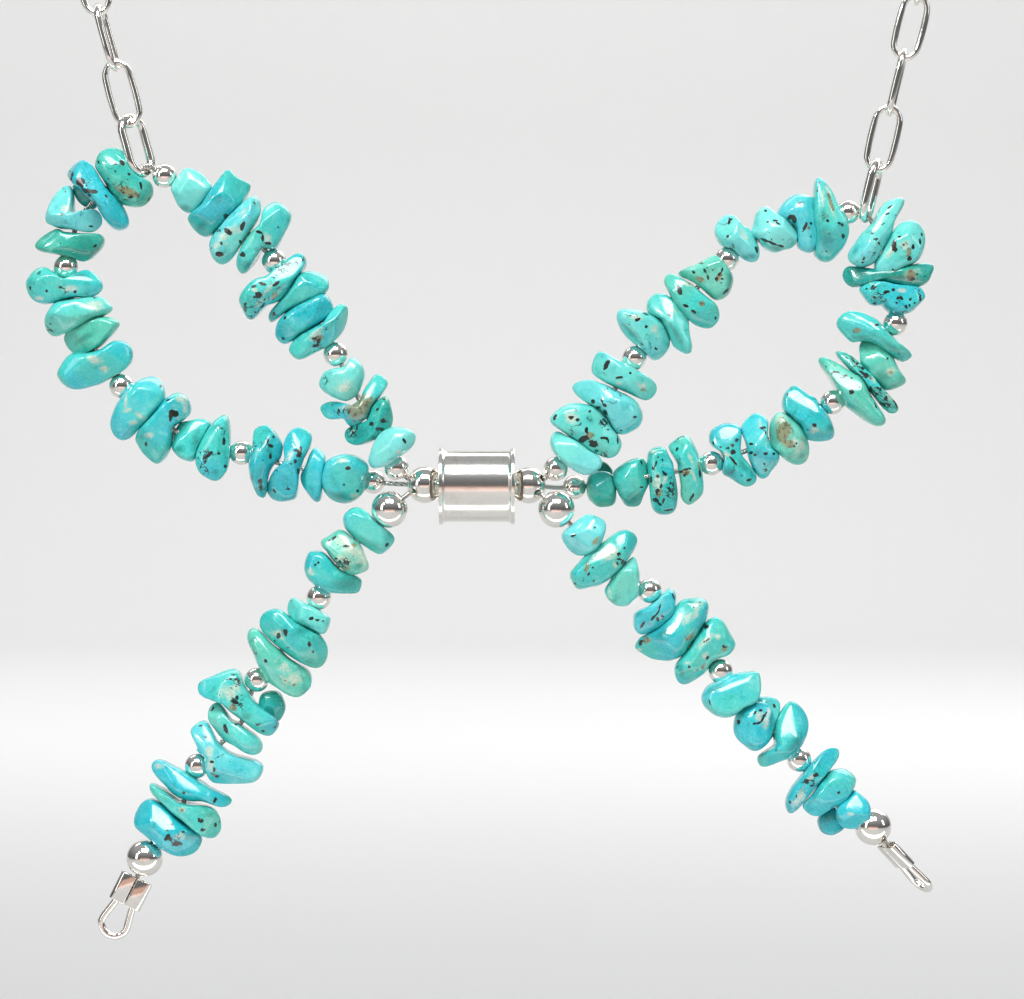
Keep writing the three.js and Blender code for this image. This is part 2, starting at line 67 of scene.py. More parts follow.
class Flow:   # a shader socket that takes part in plain maths
    def __init__(self, tree, socket=None):
        self.tree, self.socket = tree, socket

    def node(self, kind, settings=None, sockets=None, out=0):
        made = self.tree.nodes.new(kind)
        for name, value in (settings or {}).items():
            setattr(made, name, value)
        for name, value in (sockets or {}).items():
            if isinstance(value, Flow):
                self.tree.links.new(value.socket, made.inputs[name])
            else:
                made.inputs[name].default_value = value
        return Flow(self.tree, made.outputs[out])

    def maths(self, operation, *values):
        return self.node("ShaderNodeMath", {"operation": operation}, dict(enumerate(values)))

    def vector(self, operation, *others, **named):
        return self.node("ShaderNodeVectorMath", {"operation": operation},
                         {**dict(enumerate((self, *others))), **named})

    def __add__(self, other):
        return self.maths("ADD", self, other)

    def __sub__(self, other):
        return self.maths("SUBTRACT", self, other)

    def __rsub__(self, other):
        return self.maths("SUBTRACT", other, self)

    def __mul__(self, other):
        return self.maths("MULTIPLY", self, other)

    __radd__, __rmul__ = __add__, __mul__

    def most(self, other):
        return self.maths("MAXIMUM", self, other)

    def step(self, low, high):   # 0 at low, 1 at high, smooth between
        return self.node("ShaderNodeMapRange", {"interpolation_type": "SMOOTHSTEP"},
                         {"Value": self, "From Min": low, "From Max": high})

    def blend(self, first, second):   # this mask turns the first colour into the second
        return self.node("ShaderNodeMix", {"data_type": "RGBA"},
                         {"Factor": self, 6: first, 7: second}, 2)

    def noise(self, scale, detail=2.0, rough=0.5, warp=0.0):
        return self.node("ShaderNodeTexNoise", {}, {
            "Vector": self, "Scale": scale, "Detail": detail, "Roughness": rough,
            "Distortion": warp})

    def spread(self, reach):   # a noise as a small push in every direction
        push = Flow(self.tree, self.socket.node.outputs["Color"])
        return push.vector("SUBTRACT", (0.5, 0.5, 0.5)).scaled(reach)

    def scaled(self, factor):
        return self.vector("SCALE", Scale=factor)

    def relief(self, strength, depth):   # this height as a bump, its depth in mm
        return self.node("ShaderNodeBump", {}, {
            "Strength": strength, "Distance": depth * mm, "Height": self}, "Normal")

    def channels(self):
        parts = self.node("ShaderNodeSeparateColor", {}, {0: self}).socket.node
        return [Flow(self.tree, socket) for socket in parts.outputs]

    def attribute(self, name, out="Color"):
        return self.node("ShaderNodeAttribute", {"attribute_name": name}, out=out)

    def axis(self, name):
        return self.node("ShaderNodeSeparateXYZ", {}, {0: self}, name)

    def inMillimetres(self):   # object coordinates, in mm
        return self.node("ShaderNodeTexCoord", out="Object").scaled(1 / mm)


def newFinish(name, **constants):
    material = bpy.data.materials.new(name)
    material.use_nodes = True
    shader = material.node_tree.nodes["Principled BSDF"]
    for socket, value in constants.items():
        shader.inputs[socket.replace("_", " ")].default_value = value
    return material, Flow(material.node_tree), shader


def feed(shader, **links):
    for socket, flow in links.items():
        flow.tree.links.new(flow.socket, shader.inputs[socket.replace("_", " ")])


stoneColours = {
    "green": (0.11, 0.56, 0.42, 1),
    "aqua": (0.055, 0.59, 0.53, 1),
    "blue": (0.02, 0.53, 0.62, 1),
    "deep": (0.004, 0.17, 0.14, 1),
    "pale": (0.30, 0.82, 0.75, 1),
    "cream": (0.60, 0.60, 0.45, 1),
    "chalk": (0.72, 0.80, 0.72, 1),
    "tan": (0.27, 0.24, 0.11, 1),
    "brown": (0.13, 0.075, 0.03, 1),
    "black": (0.006, 0.011, 0.008, 1),
}
# how fine each pattern is, per mm, and how strongly its colour shows
stoneGrain = {"broad": 0.28, "cloud": 0.9, "grain": 5.5, "edges": 2.6, "drift": 0.55, "web": 0.55,
              "webBend": 1.1, "field": 0.5, "speck": 1.9}
stoneShare = {"faded": 0.6, "lightCloud": 0.5, "darkCloud": 0.45, "mottle": 0.22, "shade": 0.6,
              "patch": 0.7, "rust": 0.85}
stonePolish = {"coat": 0.7, "coatRough": 0.04, "rough": 0.12, "roughGrain": 0.14,
               "roughMatrix": 0.2, "roughPatch": 0.06, "bump": 0.35, "bumpDepth": 0.06}


def turquoiseFinish():
    size, share, polish = stoneGrain, stoneShare, stonePolish
    material, start, shader = newFinish("turquoise", IOR=1.5, Coat_Weight=polish["coat"],
                                        Coat_Roughness=polish["coatRough"])
    hue, dark, pale = start.attribute("tone").channels()
    fade = start.attribute("tone", "Alpha")
    black, cream, tan = start.attribute("marks").channels()
    # the fourth channel holds the deep marks, mostly painted shade
    deep = start.attribute("marks", "Alpha")
    seed = start.attribute("seed", "Fac")
    shift = seed.node("ShaderNodeCombineXYZ", {}, {0: seed * 31.7, 1: seed * 17.3, 2: seed * 43.1})
    place = start.inMillimetres().vector("ADD", shift)       # no two stones alike
    broad = place.noise(size["broad"], 2)                    # one colour drifts into the next
    cloud = place.noise(size["cloud"], 4, 0.55, 0.4)         # soft clouds
    grain = place.noise(size["grain"], 4, 0.6)               # fine mottling of the polished stone
    edges = place.noise(size["edges"], 3, 0.62)              # ragged edges of patches and veins

    blueness = (hue + (broad - 0.5) * 1.1).step(0.05, 0.95)
    warm = (blueness * 2).step(0, 1).blend(stoneColours["green"], stoneColours["aqua"])
    body = (blueness * 2 - 1).step(0, 1).blend(warm, stoneColours["blue"])
    rich = body.vector("MULTIPLY", (0.1, 0.66, 0.66))
    # level: the stone's own lightness, and on the small pieces set back a low level is painted
    # shade
    level = fade + (cloud - 0.5) * 0.5
    body = level.step(-0.05, 0.55).blend(rich, body)
    # painted shade from the deep marks, ragged with noise: faces turned from the light, lower edges
    # and stones set back, with some darker stone among it
    painted_shade = (deep + (edges - 0.5) * 1.2 + (cloud - 0.5) * 0.8).step(-0.45, 0.9)
    for mask, strength, colour in (
            (level.step(0.5, 1.05), share["faded"], "pale"),
            (cloud.step(0.56, 0.80), share["lightCloud"], "pale"),
            (cloud.step(0.44, 0.22), share["darkCloud"], "deep"),
            (grain.step(0.45, 0.75), share["mottle"], "pale"),
            (grain.step(0.45, 0.25), share["mottle"], "deep"),
            (painted_shade, share["shade"], "deep")):
        body = (mask * strength).blend(body, stoneColours[colour])

    # cream marks: pale patches of matrix, and some painted highlights where the stone catches the
    # light
    cream_and_highlight = (cream + (edges - 0.5) * 2.2).step(-0.35, 0.75)
    drift = (place.noise(size["drift"], 3, 0.6) + pale * 0.42).step(0.78, 0.98)
    patch = cream_and_highlight.most(drift)
    chalky = grain.step(0.4, 0.7).blend(stoneColours["cream"], stoneColours["chalk"])
    body = (patch * share["patch"]).blend(body, chalky)

    rusty = (tan + (edges - 0.5) * 1.8).step(-0.15, 0.4)
    rust = edges.step(0.5, 0.62).blend(stoneColours["tan"], stoneColours["brown"])
    body = (rusty * share["rust"]).blend(body, rust)

    bent = place.vector("ADD", place.noise(size["webBend"], 3, 0.6).spread(2.2))
    web = place.node("ShaderNodeTexVoronoi", {"feature": "DISTANCE_TO_EDGE"},
                     {"Vector": bent, "Scale": size["web"]})
    field = place.noise(size["field"], 2)                    # where the matrix gathers
    vein = web.step(0.05, 0.015) * (field + dark * 0.3).step(0.66, 0.76)
    speck = place.noise(size["speck"], 3, 0.55)
    speck = (speck + dark * 0.16 + (field - 0.5) * 0.35).step(0.73, 0.77)
    # black marks: dark matrix of the stone, and a few of them painted shadow in gaps between stones
    matrix_and_gap_shadow = (black + (edges - 0.5) * 1.5).step(-0.06, 0.06)
    matrix = matrix_and_gap_shadow.most(vein.most(speck))
    body = matrix.blend(body, stoneColours["black"])

    height = cloud * 0.6 + grain * 0.12 - matrix * 0.7 + edges * 0.25
    gloss = (grain * polish["roughGrain"] + matrix * polish["roughMatrix"]
             + patch * polish["roughPatch"] + polish["rough"])
    feed(shader, Base_Color=body, Roughness=gloss,
         Normal=height.relief(polish["bump"], polish["bumpDepth"]))
    return material


silverLook = {"bright": (0.94, 0.91, 0.86, 1), "tarnished": (0.50, 0.42, 0.31, 1), "tarnish": 0.35,
              "smear": 0.8, "fine": 9.0, "scratch": 1.6, "scratchRun": (1.0, 6.0, 14.0),
              "rough": 0.05, "brushed": 0.08, "bump": 0.12, "bumpDepth": 0.02}


def silverFinish(name="silver", dull=0.0):
    look = silverLook
    material, start, shader = newFinish(name, Metallic=1.0)
    place = start.inMillimetres()
    smear = place.noise(look["smear"], 3, 0.6)
    fine = place.noise(look["fine"], 3, 0.7)
    scratch = place.vector("MULTIPLY", look["scratchRun"]).noise(look["scratch"], 2, 0.6)
    tarnish = (smear * fine).step(0.27, 0.40) * look["tarnish"]
    gloss = smear * 0.06 + scratch.step(0.55, 0.75) * 0.05 + (look["rough"] + dull)
    feed(shader, Base_Color=tarnish.blend(look["bright"], look["tarnished"]), Roughness=gloss,
         Normal=(fine * 0.4 + scratch * 0.6).relief(look["bump"], look["bumpDepth"]))
    return material


steelLook = {"dark": (0.33, 0.32, 0.30, 1), "light": (0.62, 0.60, 0.57, 1), "lay": 2.6,
             "rough": 0.22, "bump": 0.5, "bumpDepth": 0.03}


def wireFinish():
    look = steelLook
    material, start, shader = newFinish("beading_wire", Metallic=0.9)
    lay = start.node("ShaderNodeTexWave", {"bands_direction": "DIAGONAL"}, {
        "Vector": start.inMillimetres(), "Scale": look["lay"], "Distortion": 0.6})
    feed(shader, Base_Color=lay.blend(look["dark"], look["light"]),
         Roughness=lay * 0.1 + look["rough"], Normal=lay.relief(look["bump"], look["bumpDepth"]))
    return material


turquoise = turquoiseFinish()
silver = silverFinish()
brushedSilver = silverFinish("brushed_silver", silverLook["brushed"])
steel = wireFinish()
print("finishes ready")


def asPiece(bm, name, finish, nodes=(), origin=bowCentre):
    bmesh.ops.scale(bm, vec=(mm, mm, mm), verts=bm.verts)
    bmesh.ops.translate(bm, vec=origin, verts=bm.verts)
    mesh = savedMesh(bm, name)
    mesh.shade_smooth()
    mesh.materials.append(finish)
    piece = bpy.data.objects.new(name, mesh)
    bpy.context.scene.collection.objects.link(piece)
    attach(piece, "root")
    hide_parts(*nodes)


def savedMesh(bm, name):
    mesh = bpy.data.meshes.new(name)
    bm.to_mesh(mesh)
    bm.free()
    return mesh


def vertsOf(geom):
    return [g for g in geom if isinstance(g, bmesh.types.BMVert)]


def edgesOf(geom):
    return [g for g in geom if isinstance(g, bmesh.types.BMEdge)]


def standing(centre, along, face=front):
    # turns a shape made along Z, with its front towards -Y, onto a direction and a facing
    z = along.normalized()
    y = -(face - z * face.dot(z)).normalized()
    x = y.cross(z)
    return Matrix.Translation(centre) @ Matrix((x, y, z)).transposed().to_4x4()


def addCopy(bm, mesh, matrix):
    placed = mesh.copy()
    placed.transform(matrix)
    bm.from_mesh(placed)
    bpy.data.meshes.remove(placed)


def revolved(bm, outline, steps):
    # outline: (radius, distance) pairs of a section, turned round the x axis
    corners = [bm.verts.new(upward * radius + sideways * along) for radius, along in outline]
    ends = corners[1:] + (corners[:1] if outline[0][0] else [])   # open where it meets the axis
    edges = [bm.edges.new(pair) for pair in zip(corners, ends)]
    bmesh.ops.spin(bm, geom=corners + edges, cent=(0, 0, 0), axis=sideways, angle=2 * pi,
                   steps=steps, use_merge=True)
    bmesh.ops.remove_doubles(bm, verts=bm.verts, dist=1e-4)
    bmesh.ops.recalc_face_normals(bm, faces=bm.faces)


def softened(bm, width, segments=3, sharper=30):
    # rounds every edge that turns more than so many degrees
    edges = [e for e in bm.edges if e.is_manifold and e.calc_face_angle() > radians(sharper)]
    bmesh.ops.bevel(bm, geom=edges, offset=width, offset_type="OFFSET", affect="EDGES",
                    segments=segments, profile=0.5, material=-1)


def wireOval(long, wide, wire, sides, arcSteps, belly=0.0):
    # a closed oval of round wire in the XZ plane, its length along Z, drawn in towards its ends
    bm = bmesh.new()
    bend = (wide - wire) / 2
    straight = (long - wide) / 2
    section = bmesh.ops.create_circle(bm, segments=sides, radius=wire / 2,
                                      matrix=Matrix.Translation((bend, 0, straight)))["verts"]
    geom = section + list(dict.fromkeys(e for v in section for e in v.link_edges))
    for height in (straight, -straight):
        turned = bmesh.ops.spin(bm, geom=geom, cent=(0, 0, height), axis=front, angle=pi,
                                steps=arcSteps)["geom_last"]
        grown = bmesh.ops.extrude_edge_only(bm, edges=edgesOf(turned))["geom"]
        ends = vertsOf(grown)
        bmesh.ops.translate(bm, vec=(0, 0, -2 * height), verts=ends)
        geom = ends + edgesOf(grown)
    bmesh.ops.remove_doubles(bm, verts=bm.verts, dist=1e-3)
    if belly:
        for share in (-0.5, 0, 0.5):   # cuts across the straight sides, to let them bow
            bmesh.ops.bisect_plane(bm, geom=bm.verts[:] + bm.edges[:] + bm.faces[:], dist=1e-5,
                                   plane_co=(0, 0, straight * share), plane_no=upward)
        for v in bm.verts:
            v.co.x *= 1 - belly * (2 * v.co.z / long) ** 2
    bmesh.ops.recalc_face_normals(bm, faces=bm.faces)
    return savedMesh(bm, "wire_oval")


def curveLeg(before, start, end, after, steps):
    # the smooth line from start to end, when the line comes from before and goes on to after
    return geometry.interpolate_bezier(start, start + (end - before) / 6,
                                       end - (after - start) / 6, end, steps)


def smoothRoute(stops, steps=160):
    # a smooth line through the stops, as points and the distance run at each
    points = []
    for i in range(len(stops) - 1):
        start, end = stops[i], stops[i + 1]
        before = stops[i - 1] if i else start * 2 - end
        after = stops[i + 2] if i + 2 < len(stops) else end * 2 - start
        leg = curveLeg(before, start, end, after, steps)
        points += leg[1:] if points else leg
    run = [0.0]
    for a, b in zip(points, points[1:]):
        run.append(run[-1] + (b - a).length)
    return points, run


def placeAt(route, distance):
    points, run = route
    i = next((k for k in range(1, len(run)) if run[k] >= distance), len(run) - 1)
    share = (distance - run[i - 1]) / (run[i] - run[i - 1])
    return points[i - 1].lerp(points[i], share), (points[i] - points[i - 1]).normalized()


def wireAlong(name, stops, radius, sides=10, grain=0.35):
    # a round wire through the stops, as a curve turned into a mesh
    curve = bpy.data.curves.new(name, "CURVE")
    curve.dimensions = "3D"
    curve.bevel_depth = radius
    curve.bevel_resolution = sides // 4
    curve.use_fill_caps = True
    route = smoothRoute(stops, 24)
    length = route[1][-1]
    count = max(8, int(length / grain))
    spline = curve.splines.new("POLY")
    spline.points.add(count)
    for k in range(count + 1):
        spline.points[k].co = (*placeAt(route, length * k / count)[0], 1)
    holder = bpy.data.objects.new(name, curve)
    bpy.context.scene.collection.objects.link(holder)
    made = holder.evaluated_get(bpy.context.evaluated_depsgraph_get())
    mesh = bpy.data.meshes.new_from_object(made)
    bpy.data.objects.remove(holder)
    return mesh


# One entry for each chip, in its run between two silver beads: the outline seen from the front,
# then how deep it is, its colour from green (0) to blue (1) and from rich (0) to faded (1), how
# much dark matrix, how much pale patch, and how far it stands forward. Rich to faded is the
# stone's own tone, and on the small pieces set back behind others a low value is painted shade.
# The last value, where there is one, is the middle of an outline that bends too far for its plain
# average.
chips = {
    "left_loop_1": [
        ([(-8.65, 2.4), (-8, 3.85), (-7, 4.6), (-5.8, 4.6), (-5.05, 4.1), (-5.2, 3.3), (-6, 2.5),
         (-7, 1.85), (-8.1, 1.45), (-8.55, 1.6)], 3.4, 0.65, 0.95, 0.1, 0.1, 0.9),
        ([(-7.4, 7.25), (-6.95, 6.3), (-7, 4.9), (-8, 4), (-9.4, 3.35), (-10.4, 3.6), (-10.7, 4.3),
         (-10.1, 4.9), (-8.9, 5.2), (-8.4, 6.4)], 3.8, 0.42, 0.1, 0.5, 0.1, 0, (-8.3, 4.8)),
        ([(-9, 8.6), (-8.3, 9.1), (-7.6, 8.8), (-7.25, 8.3), (-7.6, 7.6), (-8, 7), (-8.4, 6.5),
         (-8.9, 5.6), (-9.8, 4.95), (-10.4, 5), (-10.9, 5.6), (-11.6, 5.35), (-12.3, 5.6),
         (-12.7, 6.4), (-12.3, 6.9), (-11.7, 6.95), (-11.3, 6.6), (-10.2, 6.5), (-9.4, 7.1),
         (-9, 7.8)], 3.6, 0.65, 0.45, 0.1, 0.3, -0.3, (-9.6, 6.2)),
        ([(-12.7, 8.3), (-12.4, 9.1), (-11.8, 9.4), (-10.9, 9.6), (-10.5, 10), (-10.2, 10.45),
         (-9.6, 10.1), (-9.25, 9.5), (-9.15, 8.9), (-9.4, 8.1), (-9.7, 7.5), (-10.5, 7),
         (-11.4, 7.2), (-12.3, 7.7)], 3.2, 0.55, 0.85, 0.1, 0.1, 0.3),
    ],
    "left_loop_2": [
        ([(-15.15, 11.2), (-14.6, 12), (-13.4, 12.7), (-12.3, 13.3), (-11.9, 14.3), (-11.2, 14.75),
         (-10.6, 14.4), (-10.65, 13.3), (-11.2, 12.2), (-12.2, 11.4), (-13.4, 10.7), (-14.3, 10.3),
         (-14.9, 10.6)], 3.6, 0.5, 0.55, 0.3, 0.2, 0.2),
        ([(-16.3, 12.4), (-16.2, 13.1), (-15.8, 13.7), (-14.6, 14.6), (-13.4, 15.2),
         (-12.6, 15.65), (-12.2, 15.5), (-11.85, 14.9), (-11.75, 14.2), (-12.3, 13.6),
         (-13.4, 12.8), (-14.6, 12.1), (-15.6, 11.6), (-16.1, 11.9)], 4, 0.75, 0.3, 0.1, 0, 0),
        ([(-17, 13.8), (-16.8, 14.3), (-15.9, 15.1), (-15, 16.2), (-14.4, 17.1), (-13.6, 17.4),
         (-12.9, 17.35), (-12.3, 17), (-12.15, 16.4), (-12.2, 15.8), (-12.9, 15.3), (-14, 14.9),
         (-15.5, 14.2), (-16.2, 13.6), (-16.8, 13.35)], 3.4, 0.55, 0.35, 0, 0, -0.2),
        ([(-19.2, 15.2), (-18.6, 16.2), (-17.8, 16.8), (-17, 17), (-16.2, 17.7), (-15.4, 18.3),
         (-14.9, 18.7), (-14.3, 18.85), (-13.9, 18.4), (-13.95, 17.7), (-14.6, 16.9),
         (-15.4, 15.8), (-16.2, 15), (-17.2, 14.6), (-17.7, 13.9), (-18.2, 13.5), (-18.6, 13.6),
         (-18.9, 14.3)], 4.2, 0.6, 0.4, 0.5, 0.2, 0.2, (-16.7, 15.9)),
    ],
    "left_loop_3": [
        ([(-16.3, 23), (-15.6, 22.6), (-15.15, 21.7), (-15.8, 20.4), (-16.5, 19.3), (-17.4, 19.4),
         (-17.9, 18.3), (-18.6, 17.4), (-19.1, 17.3), (-19.5, 17.9), (-19.4, 18.6), (-18.8, 19.8),
         (-18.2, 20.6), (-17.5, 21.3), (-17.4, 22.2), (-16.9, 22.8)], 4, 0.5, 0.6, 0.3, 0.1, 0,
         (-17.1, 20.4)),
        ([(-18.3, 23.5), (-17.8, 23.3), (-17.6, 22.6), (-17.8, 21.7), (-18.4, 20.8), (-19, 19.9),
         (-19.6, 18.9), (-20.2, 18.3), (-20.8, 18.1), (-21.4, 18.5), (-21.7, 19.3), (-21.5, 20.1),
         (-20.8, 21), (-20, 21.9), (-19.2, 22.7)], 3.6, 0.6, 0.8, 0.3, 0.5, 0.2),
        ([(-20.15, 25.65), (-19.6, 25.1), (-18.6, 24.6), (-18.5, 24.2), (-19.1, 23), (-20, 21.8),
         (-20.8, 21), (-21.6, 20.5), (-22.2, 20.4), (-22.9, 20.9), (-23.4, 21.7), (-23.3, 22),
         (-22.3, 22.8), (-21.5, 24), (-20.8, 25)], 4, 0.6, 0.3, 0, 0, 0),
        ([(-24.8, 24.3), (-24.2, 25.1), (-23.7, 25.7), (-23, 25.65), (-22.2, 25.1), (-21.6, 24.4),
         (-21.6, 24), (-22.3, 23), (-23, 22.4), (-23.6, 22.25), (-24.2, 22.7), (-24.6, 23.6)], 3.2,
         0.55, 0.9, 0, 0.1, 0.1),
    ],
    "left_loop_4": [
        ([(-30.9, 26), (-30.6, 26.9), (-29.9, 27.3), (-29, 27.25), (-28.5, 26.8), (-28.2, 26),
         (-27.6, 25.2), (-27.2, 25), (-26.6, 24.8), (-26.4, 24.1), (-26.6, 23.4), (-27.3, 22.8),
         (-28.5, 22.85), (-29.3, 23.4), (-30, 24.4), (-30.8, 25.6)], 3.6, 0.35, 0.3, 0.4, 0.1, 0),
        ([(-33.4, 25.4), (-33.2, 25.9), (-32.6, 26.2), (-32, 26.4), (-31.4, 26.15), (-30.9, 25.5),
         (-30.4, 24.6), (-29.8, 23.8), (-29, 23), (-28.5, 22.1), (-28.35, 21.4), (-28.6, 21),
         (-29.2, 20.85), (-29.8, 21.1), (-30.4, 21.8), (-30.8, 22.6), (-31.3, 23.2), (-32, 23.9),
         (-32.7, 24.5), (-33.1, 24.8)], 4, 0.95, 0.35, 0.2, 0, 0.1),
        ([(-32.9, 24.5), (-32.3, 24.3), (-31.6, 23.6), (-31.1, 23), (-31.4, 22.7), (-32.2, 23),
         (-32.7, 23.6)], 2, 0.4, 0.05, 0.2, 0, -1),
        ([(-33.1, 24.3), (-33.7, 24.1), (-34.4, 23.2), (-34.9, 22.2), (-34.95, 21.5),
         (-34.5, 21.2), (-33.4, 20.9), (-32.2, 20.7), (-31.1, 20.65), (-30.6, 20.9),
         (-30.45, 21.5), (-30.7, 22.1), (-31.2, 22.5), (-31.9, 22.35), (-32.35, 22.15),
         (-32.7, 22.3), (-32.75, 23), (-32.85, 23.9)], 3.2, 0.85, 0.85, 0, 0.4, 0.3, (-33.4, 21.7)),
        ([(-35.8, 19.7), (-35.3, 20.2), (-34.6, 20.6), (-34, 20.85), (-33.4, 20.6), (-32.4, 20.5),
         (-31.4, 20.55), (-30.7, 20.5), (-30.35, 20.1), (-30.5, 19.5), (-31, 19), (-31.5, 18.5),
         (-32.1, 18.3), (-32.8, 18.6), (-33.8, 18.8), (-35, 18.95), (-35.6, 19.2)], 3.6, 0.2, 0.15,
         0.1, 0.1, -0.1),
    ],
    "left_loop_5": [
        ([(-36.65, 16.4), (-36.4, 17), (-35.9, 17.55), (-35.3, 17.85), (-34.6, 17.7),
         (-34.1, 17.2), (-33.5, 16.8), (-32.9, 17), (-32.3, 17.45), (-31.6, 17.45), (-31, 17.1),
         (-30.55, 16.6), (-30.4, 16.1), (-30.7, 15.65), (-31.5, 15.4), (-33, 15.35), (-34, 15),
         (-34.9, 14.8), (-35.7, 15), (-36.3, 15.5)], 4, 0.5, 0.5, 0.2, 0.1, 0),
        ([(-35, 13.3), (-34.8, 14), (-34.4, 14.6), (-33.9, 14.9), (-33, 15.05), (-31.9, 15.2),
         (-30.9, 15.35), (-30.4, 15.3), (-30, 14.9), (-29.6, 14.45), (-30, 14), (-31, 13.65),
         (-32, 13.2), (-33, 12.7), (-33.8, 12.3), (-34.4, 12.2), (-34.85, 12.6)], 3.6, 0.5, 0.7, 0,
         0.1, 0.1),
        ([(-33.55, 12), (-33.2, 12.5), (-32.4, 12.9), (-31.6, 13.4), (-30.8, 13.65), (-30, 13.65),
         (-29.3, 13.4), (-29.1, 13.1), (-29.5, 12.6), (-30.1, 12), (-30.7, 11.4), (-31.4, 10.95),
         (-32.1, 10.75), (-32.7, 10.8), (-33.3, 11.3)], 3.4, 0.25, 0.5, 0, 0.1, -0.1),
        ([(-34.05, 9.1), (-33.8, 9.7), (-33.3, 10.4), (-32.7, 10.8), (-31.5, 10.8), (-30.5, 11.1),
         (-29.8, 11.6), (-29.1, 11.8), (-28.5, 11.6), (-28.1, 11.1), (-28.05, 10.4), (-28.3, 9.8),
         (-29, 9.2), (-29.9, 8.7), (-30.9, 8.2), (-32, 7.9), (-33, 7.95), (-33.7, 8.4)], 4, 0.55,
         0.5, 0, 0.2, 0.1),
    ],
    "left_loop_6": [
        ([(-29.7, 5.2), (-29.5, 6), (-29, 6.9), (-28.3, 7.9), (-27.5, 8.5), (-26.6, 8.85),
         (-26, 8.7), (-25.6, 8.2), (-25.35, 7.5), (-25.5, 6.8), (-26, 6.2), (-26.8, 5.4),
         (-27.4, 4.8), (-28, 4.1), (-28.6, 3.8), (-29.2, 3.95), (-29.6, 4.5)], 3.8, 0.65, 0.6, 0,
         0.1, 0.1),
        ([(-27.7, 3.9), (-27.2, 4.7), (-26.4, 5.6), (-25.8, 6.4), (-25.2, 7.1), (-24.6, 7.45),
         (-24, 7.5), (-23.5, 7), (-23.3, 6.3), (-23.5, 5.6), (-24.3, 5.1), (-24.7, 4.8),
         (-24.8, 4), (-25, 3), (-25.5, 2.2), (-26, 1.9), (-26.6, 2.2), (-27.2, 2.8), (-27.5, 3.3)],
         4, 0.65, 0.35, 0.2, 0.4, 0.1, (-25.6, 4.7)),
        ([(-24.5, 4.6), (-24.1, 5.1), (-23.4, 5.2), (-22.7, 5.4), (-22.1, 5.3), (-21.75, 5),
         (-22.2, 4.2), (-22.7, 3.2), (-22.9, 2.4), (-23.2, 2.1), (-23.7, 2.1), (-24.3, 2.4),
         (-24.7, 3), (-24.6, 3.8)], 3.4, 0.6, 0.5, 0, 0.1, -0.2),
        ([(-20.65, 5.75), (-20.3, 5.4), (-20.15, 4.5), (-20.15, 3.2), (-20.2, 2), (-20.4, 1.2),
         (-20.9, 0.65), (-21.4, 0.55), (-22, 0.8), (-22.5, 1.2), (-22.75, 2), (-22.6, 2.9),
         (-22.3, 3.8), (-21.9, 4.6), (-21.3, 5.4)], 3.8, 0.6, 0.45, 0.3, 0.1, 0.1),
    ],
    "left_loop_7": [
        ([(-18.1, 4.5), (-17.3, 4.9), (-16.7, 4.6), (-16.2, 3.9), (-15.95, 3.2), (-16.1, 2.3),
         (-16.6, 1.8), (-16.9, 1.2), (-17.1, 0.3), (-17.1, -0.6), (-17.4, -0.9), (-17.9, -0.7),
         (-18.2, 0), (-18.5, 0.9), (-18.55, 1.9), (-18.3, 3), (-18.2, 3.9)], 3.8, 0.75, 0.25, 0.3,
         0, 0.1, (-17.4, 2.2)),
        ([(-15.1, 4.5), (-14.6, 4.75), (-13.9, 4.5), (-13.5, 4.1), (-13.6, 3.2), (-13.9, 2.6),
         (-14.2, 2), (-14.5, 1.2), (-14.55, 0.2), (-14.7, -0.8), (-15.2, -1.1), (-16.2, -1.15),
         (-16.8, -0.9), (-17.15, -0.3), (-16.9, 0.6), (-16.4, 1.4), (-15.7, 2), (-15.65, 2.6),
         (-15.8, 3.2), (-15.5, 4)], 4, 0.8, 0.4, 0.4, 0.2, 0, (-15.1, 1.8)),
        ([(-13.2, 3), (-12.8, 2.8), (-12.4, 2.3), (-12.55, 1.2), (-12.65, 0.2), (-12.7, -0.6),
         (-12.9, -1.15), (-13.3, -1.1), (-13.8, -0.5), (-14.2, 0.2), (-14.3, 0.9), (-14, 1.6),
         (-13.7, 2.4)], 3.2, 0.75, 0.55, 0, 0, 0),
        ([(-12.6, 0.6), (-12.5, 1.4), (-12.1, 2.1), (-11.3, 2.45), (-10.6, 2.55), (-9.8, 2.4),
         (-9.1, 1.9), (-8.9, 1.3), (-9.1, 0.3), (-9.3, -0.5), (-10, -1.1), (-10.9, -1.35),
         (-11.8, -1.1), (-12.4, -0.4)], 3.4, 0.7, 0.6, 0.1, 0, 0.6),
    ],
    "right_loop_1": [
        ([(5.95, 3.6), (6.1, 4.2), (6.6, 4.4), (7.3, 4), (8.2, 3.5), (9, 2.9), (9.8, 2.4),
         (10, 1.9), (9.8, 1.4), (9.2, 1), (8.6, 0.95), (7.8, 1.3), (7, 1.9), (6.4, 2.5), (6.1, 3)],
         3.2, 0.7, 0.9, 0, 0, 0.9),
        ([(5.95, 5.1), (6.1, 5.6), (6.7, 6.2), (7.4, 6.6), (8.2, 6.65), (9.2, 6.45), (9.9, 6.1),
         (10.5, 5.5), (10.9, 4.7), (11.4, 4), (11.65, 3.4), (11.5, 2.8), (11.1, 2.4), (10.6, 2.3),
         (10, 2.5), (9.3, 2.9), (8.2, 3.6), (7.3, 4.2), (6.4, 4.7)], 4, 0.45, 0.75, 0.3, 0.3, 0.3),
        ([(7.8, 7.9), (8, 8.3), (8.5, 8.5), (9.1, 8.6), (9.8, 8.4), (10.6, 8.1), (11.5, 7.6),
         (12.3, 7.3), (12.9, 6.9), (13.3, 6.2), (13.4, 5.5), (13.1, 4.9), (12.5, 4.5),
